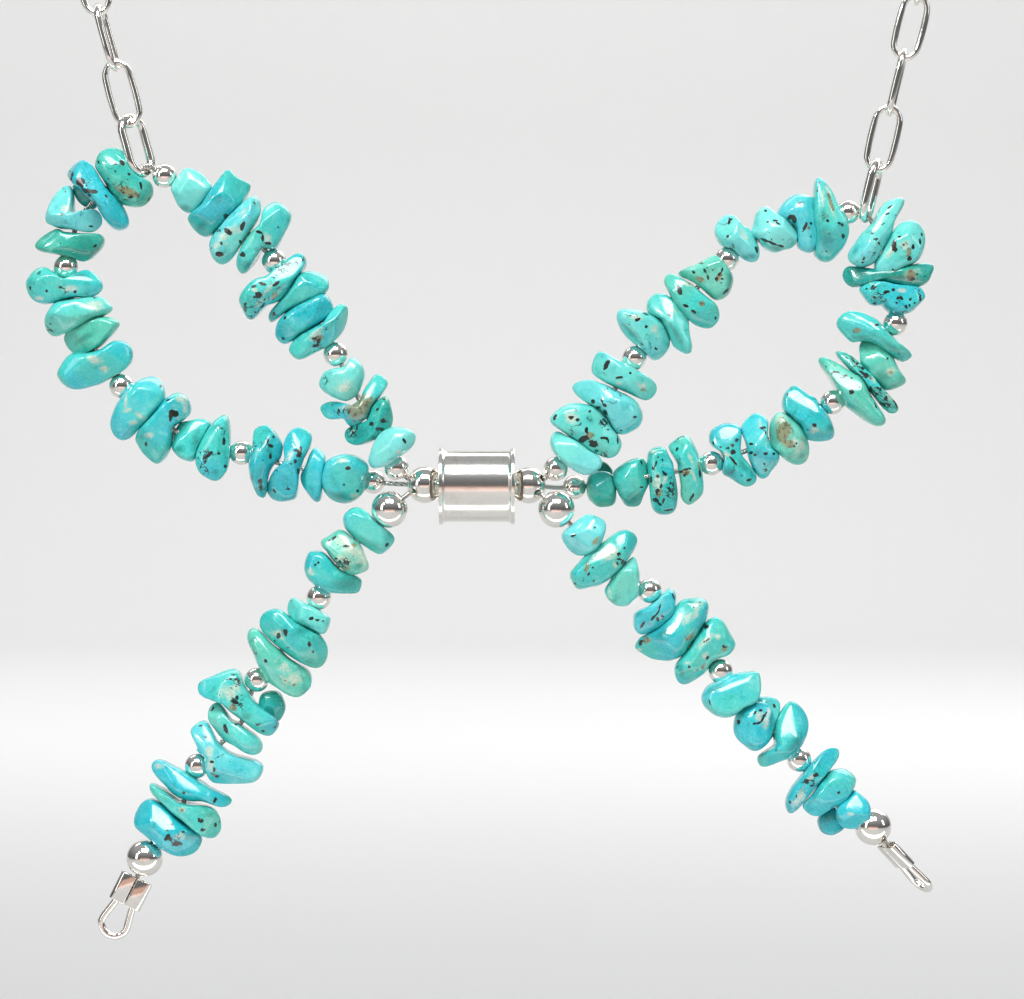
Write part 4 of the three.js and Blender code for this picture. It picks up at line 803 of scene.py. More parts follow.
# Marks on the front of the stones: x, z, length, width and tilt of each, on any stone of a run.
# The deep marks are mostly painted shade, on faces turned from the light, along lower edges and on
# stones set back behind others, with some darker stone among them.
marks = {
    "left_loop_1": {
        "black": [(-5.8, 3.6, 0.55, 0.22, -60), (-8, 6.2, 0.3, 0.3, 0), (-7.5, 5.25, 0.5, 0.4, 0),
            (-8.5, 5, 0.4, 0.35, 0), (-7.8, 4.6, 0.6, 0.3, 0), (-7.5, 7, 0.35, 0.2, 0),
            # the long black mark at -11.2, 5.9 is painted shadow in a gap between stones
            (-11.2, 5.9, 0.7, 0.3, 90)],
        "cream": [(-6.2, 2.7, 0.6, 0.4, 20), (-10.1, 4.4, 0.6, 0.2, 20),
            (-10.6, 6.4, 1.2, 0.4, 15), (-10.7, 8, 1.4, 0.9, 30)],
        "tan": [(-9.5, 6.3, 3.4, 2.3, 40)],
        "deep": [(-9.6, 4.2, 2.4, 1.4, 20)],
    },
    "left_loop_2": {
        "black": [(-12.8, 11.7, 0.35, 0.35, 0), (-13, 11.35, 0.6, 0.25, 15),
            (-15.5, 13.6, 0.3, 0.3, 0), (-15.7, 11.95, 0.35, 0.25, 0),
            (-16.5, 13.9, 0.45, 0.3, 90), (-17.6, 15.4, 0.6, 0.5, 0), (-18, 16.1, 0.5, 0.25, 20),
            (-17.3, 16.3, 0.6, 0.3, -20), (-16.2, 16.3, 0.75, 0.28, 35),
            (-17.3, 14.6, 0.6, 0.2, 55), (-16.2, 17.7, 0.4, 0.22, 0)],
        "cream": [(-12.9, 12.2, 1.2, 0.8, 40), (-17.9, 15.8, 0.6, 0.4, 0),
            (-17.6, 14.8, 1, 0.3, 50), (-16.8, 15.9, 1.4, 0.4, 45)],
        "tan": [(-12.8, 11.9, 0.9, 0.6, 20), (-16.3, 15.4, 0.9, 0.4, 40)],
        "deep": [(-13.4, 15.3, 2.6, 0.5, 25)],
    },
    "left_loop_3": {
        "black": [(-18.95, 18.7, 0.55, 0.45, 0), (-17.6, 20.5, 0.6, 0.25, -20),
            (-17.3, 20, 0.6, 0.22, 90), (-16.9, 19.6, 0.5, 0.3, 0), (-20.1, 20.55, 0.85, 0.4, -35),
            (-20.85, 18.75, 0.7, 0.45, 0), (-18.9, 21, 0.75, 0.35, 70), (-18, 22.9, 0.25, 0.25, 0),
            (-18.4, 21.7, 0.25, 0.25, 0), (-19.15, 19.75, 0.3, 0.22, 90),
            (-20.3, 21.8, 0.5, 0.35, 90)],
        "cream": [(-16.9, 20, 0.9, 0.6, 90), (-20.5, 20.1, 1, 0.7, 0), (-18.9, 22.1, 0.8, 0.5, 50),
            (-21.1, 19.4, 1, 0.6, 70)],
        "deep": [(-18.5, 17.8, 1, 0.8, 0), (-23.8, 22.5, 1.2, 0.7, 0), (-22.3, 21, 1.6, 0.7, 40)],
    },
    "left_loop_4": {
        "black": [(-28.65, 26.1, 0.5, 0.35, -60), (-29.15, 26, 0.25, 0.25, 0),
            (-29.4, 25.7, 0.25, 0.22, 0), (-29.15, 25.35, 0.35, 0.2, 90),
            (-30.55, 26.2, 0.3, 0.22, 90), (-28.1, 25.2, 0.25, 0.25, 0),
            (-28.2, 24.7, 0.3, 0.22, 0), (-28, 23.35, 0.6, 0.22, 20), (-27.2, 24.3, 0.7, 0.2, -80),
            (-30, 24.3, 0.4, 0.22, 90), (-32, 24.5, 0.85, 0.7, 0), (-31.5, 23.8, 0.7, 0.4, 0),
            (-30.9, 23.75, 0.6, 0.35, 0), (-31.3, 23.4, 0.4, 0.3, 0), (-30.8, 22.8, 0.5, 0.2, -45),
            (-32.8, 24.8, 0.4, 0.35, 0), (-33, 25.5, 0.25, 0.25, 0), (-32.7, 25.2, 0.5, 0.3, 90),
            (-29.9, 23.4, 0.35, 0.2, -30), (-31.2, 21.1, 0.45, 0.22, 10),
            (-33.7, 19.6, 0.22, 0.22, 0), (-30.9, 19.5, 0.4, 0.2, 40)],
        "cream": [(-33.2, 22.4, 1, 0.6, 0), (-32.5, 22.15, 0.6, 0.3, 0)],
        "tan": [(-33.5, 21.9, 0.7, 0.2, 0), (-28.2, 23.8, 2.4, 0.8, -20)],
        "deep": [(-31.6, 19.4, 2.6, 2.4, 0)],
    },
    "left_loop_5": {
        "black": [(-36.15, 16, 0.4, 0.25, 90), (-35.85, 16.4, 0.25, 0.25, 0),
            (-34.75, 15.75, 0.3, 0.3, 0), (-33.6, 16.05, 0.35, 0.22, 0),
            (-32.5, 15.7, 0.3, 0.3, 0), (-34.55, 13.1, 0.22, 0.22, 0)],
        "cream": [(-32.8, 15.9, 1.2, 0.5, 0), (-35.5, 15.2, 0.8, 0.4, 0),
            (-30.9, 14.6, 1.6, 0.9, 0), (-30.8, 10.2, 1.2, 0.7, -20), (-30.1, 9.5, 0.8, 0.6, 0),
            (-31.2, 10.4, 0.6, 0.4, 0)],
        "deep": [(-32, 17, 1.4, 0.8, 0), (-31.8, 12, 2.4, 0.6, 30)],
    },
    "left_loop_6": {
        "black": [(-25.65, 8.1, 0.35, 0.22, 90), (-24.5, 5.85, 0.95, 0.6, 0),
            (-24.75, 5.4, 0.5, 0.3, 90), (-25, 6.95, 0.45, 0.22, 30), (-26.8, 3.4, 0.4, 0.25, 90),
            (-21.8, 2.45, 0.9, 0.3, 35), (-21.5, 2.7, 0.4, 0.25, 0), (-20.5, 3.6, 0.65, 0.25, 90),
            (-20.9, 2.65, 0.3, 0.22, 0), (-20.4, 1.6, 0.3, 0.25, 90)],
        "cream": [(-28.35, 6.9, 1.3, 0.3, 85), (-28.2, 6.1, 1, 0.3, 10),
            (-27.2, 5.6, 1.2, 0.5, -35), (-27.8, 5.1, 0.8, 0.5, 0), (-23.9, 7.1, 1, 0.7, 0),
            (-23.6, 6.3, 1.2, 0.5, 90), (-24, 5.5, 0.7, 0.4, 0), (-26.5, 4.1, 0.8, 0.5, 0)],
        "deep": [(-22.8, 3.8, 2, 0.7, 80), (-24.2, 3, 1, 0.8, 0), (-21.2, 1.1, 0.8, 0.6, 0)],
    },
    "left_loop_7": {
        "black": [(-16.95, 3.7, 0.5, 0.25, 90), (-16.7, 3.25, 0.55, 0.3, -20),
            (-16.75, 2.4, 0.5, 0.25, 90), (-16.5, 4, 0.22, 0.22, 0), (-17.55, 0.4, 0.6, 0.35, 0),
            (-17.6, -0.1, 0.3, 0.3, 0), (-14.4, 2.5, 0.5, 0.4, 0), (-14.7, 2, 0.4, 0.3, 90),
            (-14.3, 3, 0.5, 0.3, 90), (-14.7, 2.9, 0.5, 0.22, 0), (-16.5, -0.4, 0.45, 0.22, -50),
            (-15.35, -0.25, 0.5, 0.22, 0), (-14.5, 1.2, 0.5, 0.22, 90),
            (-10.45, 1.45, 0.45, 0.3, 0), (-9.7, -0.4, 0.25, 0.25, 0), (-10.8, 0.1, 0.22, 0.22, 0)],
        "cream": [(-17.4, 0, 0.4, 0.4, 0), (-15.2, 2.4, 1, 0.5, 60), (-9.9, -0.8, 0.8, 0.5, 0),
            (-10.9, 2.1, 1.2, 0.5, 0)],
        "deep": [(-18.3, 0.5, 1.2, 0.4, 80), (-11, -0.8, 2, 0.8, 0)],
    },
    "right_loop_1": {
        "black": [(6.3, 5.5, 0.55, 0.3, 60), (7.6, 5.5, 0.5, 0.3, 0), (8.15, 5.3, 0.35, 0.3, 0),
            (8, 6.1, 0.4, 0.22, 90), (7.65, 4.7, 0.3, 0.22, 90), (8.6, 3.8, 0.9, 0.5, 30),
            (8.85, 4.5, 0.5, 0.3, 90), (9.4, 3.4, 0.8, 0.7, 0), (9.7, 2.8, 0.3, 0.3, 0),
            (10.3, 3.85, 0.75, 0.2, 0), (10.6, 3.6, 0.4, 0.2, 90), (10.6, 4.55, 0.22, 0.22, 0),
            (9.1, 6, 0.35, 0.2, 40), (11.4, 3.7, 0.7, 0.2, 90), (9.4, 6.85, 0.45, 0.35, 90),
            (10.1, 6.9, 0.4, 0.22, 90), (10.3, 6.5, 0.4, 0.22, -30), (9.8, 6.3, 0.5, 0.25, 0),
            (10.4, 5.9, 0.5, 0.3, -50), (12.75, 5.55, 0.4, 0.22, 0), (10.5, 9.8, 0.95, 0.4, 60),
            (11.5, 8.75, 0.6, 0.22, 10), (12.4, 9.1, 0.22, 0.22, 0)],
        "cream": [(7.6, 5.5, 1.2, 1, 0), (11.5, 8.3, 0.6, 0.4, 0), (13.4, 8.1, 0.7, 0.6, 0)],
        "tan": [(9.1, 4.1, 0.8, 0.7, 0), (13.5, 7.8, 0.5, 0.4, 0)],
    },
    "right_loop_2": {
        "black": [(12.4, 13.3, 0.3, 0.22, 0), (12.95, 13.4, 0.6, 0.25, 30),
            (13.7, 12.85, 0.25, 0.25, 0), (14.5, 11.1, 0.4, 0.2, -30),
            (13.6, 13.9, 0.7, 0.18, -15), (15.55, 13.8, 0.45, 0.22, -30),
            (16.4, 15.8, 0.9, 0.4, -70), (16.85, 14.55, 0.6, 0.25, -20),
            (17.55, 14.05, 0.45, 0.25, -35), (19.35, 13.6, 0.3, 0.2, 90),
            (17.55, 17.3, 0.35, 0.22, -45), (18.45, 17.35, 0.5, 0.2, -60),
            (18.7, 16.9, 0.6, 0.2, -85), (19.6, 17.1, 0.35, 0.25, 60), (19.4, 16.75, 0.3, 0.3, 0),
            (19.85, 16.75, 0.3, 0.2, 20), (19.75, 16.4, 0.25, 0.2, 0),
            (19.85, 17.5, 0.6, 0.15, 75), (20.2, 15.8, 0.8, 0.18, 45)],
        # the cream mark at 14.4, 12.7 is a painted highlight
        "cream": [(12.8, 13.6, 1.2, 0.6, 0), (14.4, 12.7, 0.8, 0.7, 0), (17, 16.35, 1.4, 0.4, -20),
            (15.7, 14.25, 1, 0.3, -25)],
        "tan": [(18.2, 14.7, 0.7, 0.5, 60), (18.1, 16.7, 1, 0.5, -35), (19.6, 16.9, 0.8, 0.5, 60)],
        "deep": [(20.45, 16.6, 2.2, 0.7, 90), (16.2, 12.2, 2.2, 0.5, -60),
            (12.5, 12.4, 2.2, 0.5, -45)],
    },
    "right_loop_3": {
        "black": [(20.45, 21.4, 0.5, 0.22, 80), (20.65, 21.62, 0.4, 0.16, 20),
            (20.3, 20.15, 0.35, 0.25, 90), (22.65, 19.15, 0.55, 0.25, -80),
            (23.2, 19.9, 0.7, 0.2, -30), (23.9, 19.6, 0.9, 0.22, -22), (24.6, 19.4, 0.6, 0.2, -15),
            (23.4, 22.3, 0.25, 0.22, 0), (24.1, 21.45, 0.5, 0.18, 0),
            (24.35, 21.2, 0.5, 0.15, -30), (23.5, 21.35, 0.3, 0.16, 0),
            (25.35, 21.75, 0.6, 0.35, 30), (25.65, 21.6, 0.7, 0.35, -70),
            (26.2, 22.9, 0.7, 0.16, 15), (26.55, 20.95, 0.85, 0.28, 65),
            (27.05, 21.25, 0.25, 0.25, 0), (27.05, 20.15, 0.3, 0.2, 0), (28.35, 21.4, 0.3, 0.3, 0),
            (29.25, 21.2, 0.3, 0.22, 0), (29.55, 21.1, 0.25, 0.25, 0),
            (29.65, 20.2, 0.4, 0.35, 90), (27.65, 24.6, 0.25, 0.22, 0),
            (27.6, 24.05, 0.5, 0.2, 85)],
        "cream": [(21.6, 20.3, 0.9, 0.5, -60), (24.2, 21.3, 0.35, 0.3, 0),
            (28, 23.3, 1.7, 0.35, 85), (28.7, 22.3, 1.8, 0.3, -70), (28.4, 24, 1, 0.4, -60)],
        "tan": [(28.6, 23, 1.8, 0.35, -75), (26.85, 20.9, 0.4, 0.3, 0)],
        "deep": [(22.2, 18.6, 1.2, 0.5, 0), (24.2, 19.2, 1.5, 0.5, -10),
            (28.2, 20.1, 2.4, 1.4, -80), (28, 21.9, 1.2, 0.5, 90)],
    },
    "right_loop_4": {
        "black": [(32.25, 19.9, 0.4, 0.3, 0), (32.55, 19.6, 0.75, 0.2, -50),
            (31.9, 20, 0.22, 0.22, 0), (31.65, 20.2, 0.25, 0.18, 0), (31.95, 20.4, 0.25, 0.2, 0),
            (30.7, 19.3, 0.3, 0.2, 90), (31.2, 18.1, 0.35, 0.2, 0), (33.25, 22.05, 0.4, 0.18, 20),
            (33.45, 22.6, 0.5, 0.16, 40), (32.9, 21.2, 0.3, 0.18, 20), (33.9, 21.8, 0.25, 0.2, 0),
            (33.75, 19.55, 0.7, 0.35, 80), (33.85, 19.1, 0.45, 0.4, 0), (34.2, 20.15, 0.3, 0.2, 0),
            (35.3, 19.3, 0.5, 0.26, 90), (35, 18.35, 0.4, 0.35, 60), (35.9, 19.8, 0.5, 0.22, 90),
            (36.1, 20.4, 0.28, 0.2, 90), (33.65, 17.5, 0.3, 0.2, -30),
            (33.9, 17.45, 0.35, 0.2, 20), (34.5, 19.5, 0.28, 0.2, 0), (35.35, 16.75, 0.4, 0.3, 20),
            (35.65, 17.15, 0.25, 0.25, 0), (31.5, 15.95, 0.25, 0.2, 40), (32, 16, 0.5, 0.3, 80),
            (32.25, 16.1, 0.25, 0.2, 0), (33, 15.6, 0.3, 0.22, 30), (33.25, 15.7, 0.35, 0.22, -20),
            (33.7, 15.85, 0.35, 0.3, 90), (34.05, 15.2, 0.4, 0.2, 45),
            (34.35, 15.2, 0.5, 0.2, -70), (34, 14.8, 0.3, 0.15, 0), (35.1, 15.1, 0.3, 0.25, 60),
            (35.4, 14.8, 0.35, 0.2, 30), (35, 14.6, 0.35, 0.16, 90), (35.85, 15.75, 0.5, 0.2, 80),
            (35.95, 15.3, 0.4, 0.22, 70)],
        "cream": [(33.5, 19, 1.4, 0.5, 60), (34.6, 19.5, 1, 0.8, 0), (31.95, 16.35, 0.35, 0.3, 0),
            (35.2, 17, 1, 1.2, 60), (34.4, 15.8, 0.7, 0.4, 0)],
        "tan": [(35.2, 17.1, 1.2, 0.9, 70), (34.9, 18.9, 0.8, 0.5, 60)],
        "deep": [(31, 17.1, 2.4, 2, 0), (32.8, 17, 3.4, 1.8, 0), (34.2, 16.8, 1.2, 1, 0),
            (32.6, 15.05, 1.5, 0.5, -20), (30.6, 19, 1.2, 0.5, 60)],
    },
    "right_loop_5": {
        "black": [(32.3, 13, 0.35, 0.22, 20), (33.2, 10.3, 0.22, 0.2, 0),
            (29.9, 10.4, 0.25, 0.2, 0), (30.5, 10.1, 0.4, 0.3, 40), (31.1, 9.2, 0.5, 0.28, -20),
            (31.45, 8.95, 0.5, 0.4, 0), (31.9, 7.8, 0.55, 0.28, -70), (32.35, 7.95, 0.3, 0.25, 0),
            (32.25, 7.45, 0.3, 0.28, 0), (32.75, 7.3, 0.4, 0.18, -10), (33.1, 7.25, 0.3, 0.2, -10),
            (33.05, 6.9, 0.5, 0.2, 0), (33.2, 6.55, 0.5, 0.38, 20), (32.75, 7.65, 0.3, 0.16, 0),
            (33.6, 7, 0.3, 0.18, 90), (28.95, 9.7, 0.35, 0.28, 80), (28.8, 9.2, 0.5, 0.2, 30),
            (29.3, 9.3, 0.25, 0.22, 0), (29.7, 8.85, 0.6, 0.3, 20), (30.3, 8.7, 0.28, 0.22, 0),
            (30.25, 7.6, 0.48, 0.4, 80), (30.9, 7.95, 0.22, 0.2, 0), (31.9, 7.2, 0.28, 0.2, 90),
            (32.15, 6.45, 0.48, 0.34, 80), (32.6, 6, 0.22, 0.2, 0), (28.35, 9.65, 0.2, 0.2, 0)],
        "cream": [(31, 13.55, 0.9, 0.2, -18), (31.9, 13.15, 0.6, 0.22, -40),
            (33.5, 9.3, 0.8, 0.7, 0), (30.7, 9.85, 0.55, 0.4, 0), (32, 8.6, 0.8, 0.4, -40),
            (33.4, 7.2, 0.8, 0.4, -50)],
        "tan": [(30.8, 12.6, 0.7, 0.5, 0), (33.5, 9.2, 0.5, 0.4, 0)],
        "deep": [(31, 12, 1.8, 0.5, 0), (33.6, 11.1, 2.4, 0.5, -38), (32.8, 8.7, 1.6, 1.2, 30),
            (29.2, 10.5, 0.8, 0.3, 80)],
    },
    "right_loop_6": {
        "black": [(27.3, 4.9, 0.45, 0.3, -20), (25.2, 7.4, 0.3, 0.2, 80),
            (27.75, 6.6, 0.25, 0.2, 0), (25.85, 3.45, 0.28, 0.2, 60), (25.7, 3.2, 0.2, 0.18, 0),
            (23.1, 4.7, 0.4, 0.2, -10), (23.3, 4.75, 0.35, 0.3, 40), (23.35, 4.35, 0.6, 0.2, -60),
            (23.65, 3.85, 0.7, 0.16, -65), (22.2, 3.4, 0.38, 0.22, 0), (22.2, 2.7, 0.35, 0.25, 30),
            (22.5, 2.5, 0.28, 0.22, 0), (23.35, 2.6, 0.4, 0.26, 0), (24.05, 2.6, 0.32, 0.26, 30),
            (23.3, 1.8, 0.32, 0.18, 90), (23.45, 1.3, 0.6, 0.2, -22), (19.2, 3.5, 0.32, 0.22, 80),
            (19.85, 3.1, 0.32, 0.22, 0), (20.3, 3.05, 0.4, 0.18, -20), (20.7, 3.3, 0.36, 0.3, 0),
            (21.1, 3.7, 0.38, 0.32, 20), (20.75, 2.75, 0.45, 0.4, -40), (22.1, 0.5, 0.6, 0.22, 15),
            (20.8, 2, 0.9, 0.2, -50), (21.9, 2.1, 0.4, 0.3, 0)],
        "cream": [(26.9, 6.85, 1, 0.4, -35), (27.3, 4.5, 0.7, 0.6, 0), (24.5, 5.4, 1, 0.7, 50),
            (25.8, 3.6, 0.8, 0.7, 50), (26.3, 3.2, 0.5, 0.4, 60), (22.95, 5.1, 0.8, 0.28, 85),
            (20.2, 2.6, 0.7, 0.5, -40)],
        "tan": [(24.8, 4.4, 2.2, 1.5, 80), (25.3, 3.4, 1.1, 0.8, -15)],
        "deep": [(28.6, 4.7, 0.8, 0.7, 60), (26.3, 2.4, 0.7, 0.4, 30), (20.5, 1.2, 1.2, 0.8, -30),
            (21.6, 1.6, 1.2, 0.5, -50), (22.3, 1.1, 1.2, 0.4, -70)],
    },
    "right_loop_7": {
        "black": [(16.9, 1.35, 0.5, 0.16, 20), (16.55, 1.15, 0.35, 0.22, 0),
            (16.85, 0.85, 0.3, 0.22, 40), (17.25, 1.4, 0.35, 0.18, -10), (17, 1.1, 0.35, 0.16, 50),
            (18.1, 1, 0.7, 0.22, -85), (17.5, -0.8, 0.6, 0.24, 60), (17.35, -1.15, 0.35, 0.25, 80),
            (16.25, 3, 0.5, 0.2, 60), (14.7, 2.3, 0.3, 0.2, 80), (15.05, 2.1, 0.3, 0.16, 90),
            (14.5, 1.75, 0.8, 0.2, 70), (14.3, 1.4, 0.5, 0.18, -60), (15.1, 1.15, 0.35, 0.22, 0),
            (15.25, 0.95, 0.35, 0.3, 0), (14.65, 0.8, 0.32, 0.28, 0), (14.15, 0.5, 0.6, 0.2, 90),
            (14.95, 0, 0.45, 0.22, 70), (14.65, -0.35, 0.4, 0.28, 0), (14.6, -0.75, 0.22, 0.2, 0),
            (14.5, -1.15, 0.5, 0.42, 0), (14.85, -1.5, 0.5, 0.25, -30),
            (15.15, -1.2, 0.5, 0.2, 80), (15.55, -1.95, 0.8, 0.18, 5), (13.4, 1.9, 0.4, 0.15, -60),
            (13.35, -0.1, 0.4, 0.16, 0)],
        "cream": [(17.25, 1.15, 0.6, 0.35, 0), (17.35, 2.2, 1.4, 0.3, -70),
            (17.65, 0.7, 1.6, 0.3, -70), (14.65, 0.2, 1.6, 0.8, 85), (14.3, 2.8, 0.7, 0.35, 10),
            (15.2, 0.5, 0.9, 0.45, 80)],
        "tan": [(18, 1.6, 0.9, 0.25, -80), (16.9, 1.1, 0.9, 0.6, 0), (14.8, -0.6, 0.8, 0.6, 60)],
        "deep": [(16.05, -0.4, 2.8, 0.5, -85), (12.7, -1.1, 1.8, 1.2, 0), (16.4, 2, 1.4, 0.4, -75),
            (9.1, 0.3, 1.6, 0.4, 80), (11.1, -0.9, 1.4, 0.5, 80), (10.4, 1.5, 1.2, 1, 0)],
    },
    "left_tail_1": {
        "black": [(-7.25, -4.75, 0.35, 0.22, 50), (-11.3, -5.85, 0.3, 0.22, 0),
            (-11, -6.1, 0.3, 0.25, 0), (-10.5, -4.85, 0.6, 0.2, 0), (-11.5, -4.2, 0.5, 0.22, 45),
            (-11.9, -4.45, 0.22, 0.22, 0), (-13, -6.35, 0.25, 0.25, 0),
            (-12.75, -6.15, 0.22, 0.22, 0)],
        "cream": [(-10.6, -4.4, 1.4, 0.9, 0), (-10.9, -5.9, 1.4, 0.8, 0),
            (-10.2, -5.2, 1.2, 0.8, 0), (-13.4, -6.9, 0.7, 0.6, 0)],
        "tan": [(-9.9, -4.8, 0.7, 0.5, 0), (-10.5, -6.6, 0.8, 0.5, 0)],
        "deep": [(-9.4, -6.4, 1, 0.8, 0), (-10.4, -7.9, 2.2, 1.6, 0)],
    },
    "left_tail_2": {
        "black": [(-13.35, -10.7, 0.45, 0.3, 20), (-12.85, -10.85, 0.5, 0.2, 0),
            (-12.4, -10.9, 0.3, 0.18, 0), (-15.4, -11.8, 0.7, 0.4, -80),
            (-16, -12.15, 0.5, 0.35, 70), (-16.3, -12.5, 0.4, 0.18, 40),
            (-13.5, -12.75, 0.5, 0.3, 90), (-13.2, -13.4, 0.3, 0.22, 90),
            (-15.45, -15.65, 0.25, 0.25, 0), (-17, -14.1, 0.3, 0.3, 0),
            (-17.9, -13.5, 0.25, 0.25, 0)],
        "cream": [(-16.2, -11.9, 1.2, 0.6, 0), (-15.8, -12.3, 0.5, 0.3, 0),
            (-15.5, -14.6, 0.9, 0.8, 0), (-14.7, -15.6, 1.4, 1.2, 0), (-15.5, -15.6, 0.8, 0.8, 0)],
        "tan": [(-14.7, -16.1, 0.4, 0.3, 0)],
        "deep": [(-14.1, -11.7, 1.4, 0.7, 0), (-14.4, -14.8, 0.8, 0.4, 0),
            (-18.3, -12.7, 0.6, 0.3, 90)],
    },
    "left_tail_3": {
        "black": [(-19.5, -17.45, 0.8, 0.35, -20), (-19.35, -17.1, 0.4, 0.3, 90),
            (-20.8, -17, 0.22, 0.22, 0), (-21.1, -16.8, 0.22, 0.22, 0),
            (-17.7, -19.3, 0.55, 0.22, 15), (-17.35, -19.85, 0.35, 0.22, 0),
            (-17.85, -19.9, 0.3, 0.2, 0), (-16.9, -18.2, 0.5, 0.3, -35),
            (-16.4, -18.6, 0.5, 0.4, -45), (-20.3, -19.6, 0.85, 0.35, -75),
            (-21.45, -18.1, 0.5, 0.22, 50), (-19.45, -19.25, 0.3, 0.2, 0),
            (-21.95, -20.3, 0.3, 0.22, 40), (-22.45, -19.45, 0.35, 0.2, 0),
            (-21.2, -22.9, 0.5, 0.25, 90), (-21.4, -22.3, 0.4, 0.2, 0), (-21, -23.5, 0.3, 0.3, 0)],
        "cream": [(-20, -16.7, 1.6, 1.2, 0), (-19.5, -16.3, 0.8, 0.8, 0),
            (-20.7, -16.5, 0.4, 0.4, 0), (-21.5, -22.6, 1, 0.7, 90), (-21.6, -21.5, 1.2, 0.7, 90)],
        "tan": [(-19.7, -17.9, 0.8, 0.6, 0), (-21.2, -23.4, 0.8, 0.3, -30)],
        "deep": [(-18.6, -18.6, 0.9, 0.7, 0)],
    },
    "left_tail_4": {
        "black": [(-21.15, -25.4, 0.75, 0.24, 57), (-23.65, -24.8, 0.25, 0.25, 0),
            (-22.2, -27.05, 0.4, 0.35, 90), (-22.45, -27, 0.4, 0.22, 90),
            (-22.1, -27.8, 0.4, 0.25, 0), (-21.2, -27.5, 0.4, 0.25, 90),
            (-25, -28.4, 0.8, 0.3, 55), (-24.2, -28.9, 0.9, 0.4, 0), (-24.7, -28.5, 0.4, 0.3, 90),
            (-24.95, -27.8, 0.3, 0.22, 0), (-24.6, -27.35, 0.22, 0.22, 0),
            (-23.7, -27.95, 0.3, 0.22, 90)],
        "cream": [(-23.8, -26.15, 0.7, 0.5, 0), (-24, -28.3, 0.9, 0.6, 0),
            (-25.8, -22.7, 0.8, 0.5, 0)],
        "tan": [(-23.8, -26.2, 0.4, 0.3, 0)],
        "deep": [(-23.2, -28.3, 1.2, 0.9, 0)],
    },
    "right_tail_1": {
        "black": [(7.8, -4, 0.4, 0.22, 25), (9.5, -3.35, 0.2, 0.2, 0), (9.05, -7.1, 0.38, 0.3, 60),
            (9.35, -6.6, 0.22, 0.22, 0), (8.2, -7.65, 0.24, 0.18, 0), (7.95, -7.9, 0.24, 0.2, 0),
            (11.45, -5.5, 0.4, 0.3, -50), (11.9, -4.95, 0.28, 0.25, 0),
            (10.8, -5.55, 0.26, 0.2, -50), (11.5, -5.9, 0.5, 0.15, 0), (11.8, -6.15, 0.4, 0.4, 0),
            (11.3, -6.2, 0.4, 0.16, -60)],
        "cream": [(10.9, -5.5, 1.8, 0.6, 45), (11.1, -6.3, 0.7, 0.3, -70),
            (10.7, -8.6, 1, 0.3, -80)],
        "tan": [(9.6, -4.4, 1.1, 0.5, 60), (8.9, -6.6, 1, 0.4, 70)],
        "deep": [(9.2, -5.85, 2.2, 0.45, 38), (11, -7.4, 1.6, 0.3, 48)],
    },
    "right_tail_2": {
        "black": [(14.75, -9.75, 0.6, 0.16, 70), (14.6, -10.2, 0.5, 0.16, 60),
            (14.25, -10.6, 0.6, 0.2, 50), (14.6, -10.75, 0.4, 0.25, -60),
            (14.95, -10.5, 0.35, 0.2, -20), (13.4, -11.2, 0.7, 0.2, 60),
            (15.85, -8.9, 0.8, 0.15, -70), (17.55, -9.75, 0.26, 0.24, 0), (18, -9.4, 0.26, 0.2, 0),
            (13.3, -12.75, 0.65, 0.3, 75), (18.65, -13.9, 0.34, 0.26, 60),
            (17.15, -14.6, 0.28, 0.24, -40), (17.8, -14.85, 0.32, 0.2, 40),
            (18.5, -12.5, 0.7, 0.14, 35), (18.6, -11.35, 0.5, 0.25, -20),
            (18.4, -11.6, 0.3, 0.22, 40), (20, -13, 0.5, 0.22, -20)],
        "cream": [(14.85, -10.65, 0.6, 0.3, 70), (17, -10.7, 1.2, 0.8, 60),
            (17.7, -10.2, 1.6, 0.5, 60), (17.9, -9.5, 0.9, 0.5, 0), (13.2, -13.3, 0.7, 0.25, 10),
            (18.5, -12.5, 2, 0.6, 42), (19.5, -12.2, 0.6, 0.5, 0), (18.4, -13.7, 0.8, 0.5, 60),
            (17, -14.3, 0.5, 0.4, 0)],
        "tan": [(17.2, -12.2, 0.9, 0.6, 50), (13.8, -12.5, 0.8, 0.6, 40),
            (20, -13.25, 0.7, 0.5, 60), (18.3, -14.6, 0.7, 0.4, 50)],
        "deep": [(15, -11.9, 2.2, 1.2, 30), (13.1, -10.3, 0.8, 0.4, 30),
            (16.5, -14.9, 1.4, 0.5, -80)],
    },
    "right_tail_3": {
        "black": [(18.8, -17.45, 0.8, 0.16, -65), (24.2, -17.9, 0.4, 0.22, -70),
            (22.5, -18.35, 0.45, 0.18, 50), (22.95, -18.15, 0.35, 0.2, 0),
            (23.45, -18.3, 0.22, 0.2, 0), (23.25, -18.6, 0.4, 0.22, 30),
            (23.1, -18.9, 0.5, 0.18, 65), (22.45, -19.2, 0.4, 0.24, 0),
            (22.8, -19.15, 0.45, 0.2, 10), (21.2, -19.1, 0.42, 0.26, 85),
            (23.9, -20.8, 0.4, 0.3, 0)],
        "cream": [(22.8, -18.6, 0.8, 0.8, 0), (23.4, -19.2, 1, 0.6, 80),
            (23.6, -18.3, 0.8, 0.5, 80)],
        "deep": [(19.3, -16.35, 2, 0.4, 30), (21.5, -18.5, 1.3, 0.6, 25),
            (25.7, -20.8, 2.6, 1, 60), (23.9, -19, 2.6, 0.5, 80)],
    },
    "right_tail_4": {
        "black": [(27.4, -23.35, 0.45, 0.4, 0), (26.65, -23.9, 0.5, 0.4, -40),
            (27.05, -24.2, 0.28, 0.22, 0), (25.85, -25.1, 0.35, 0.16, -70),
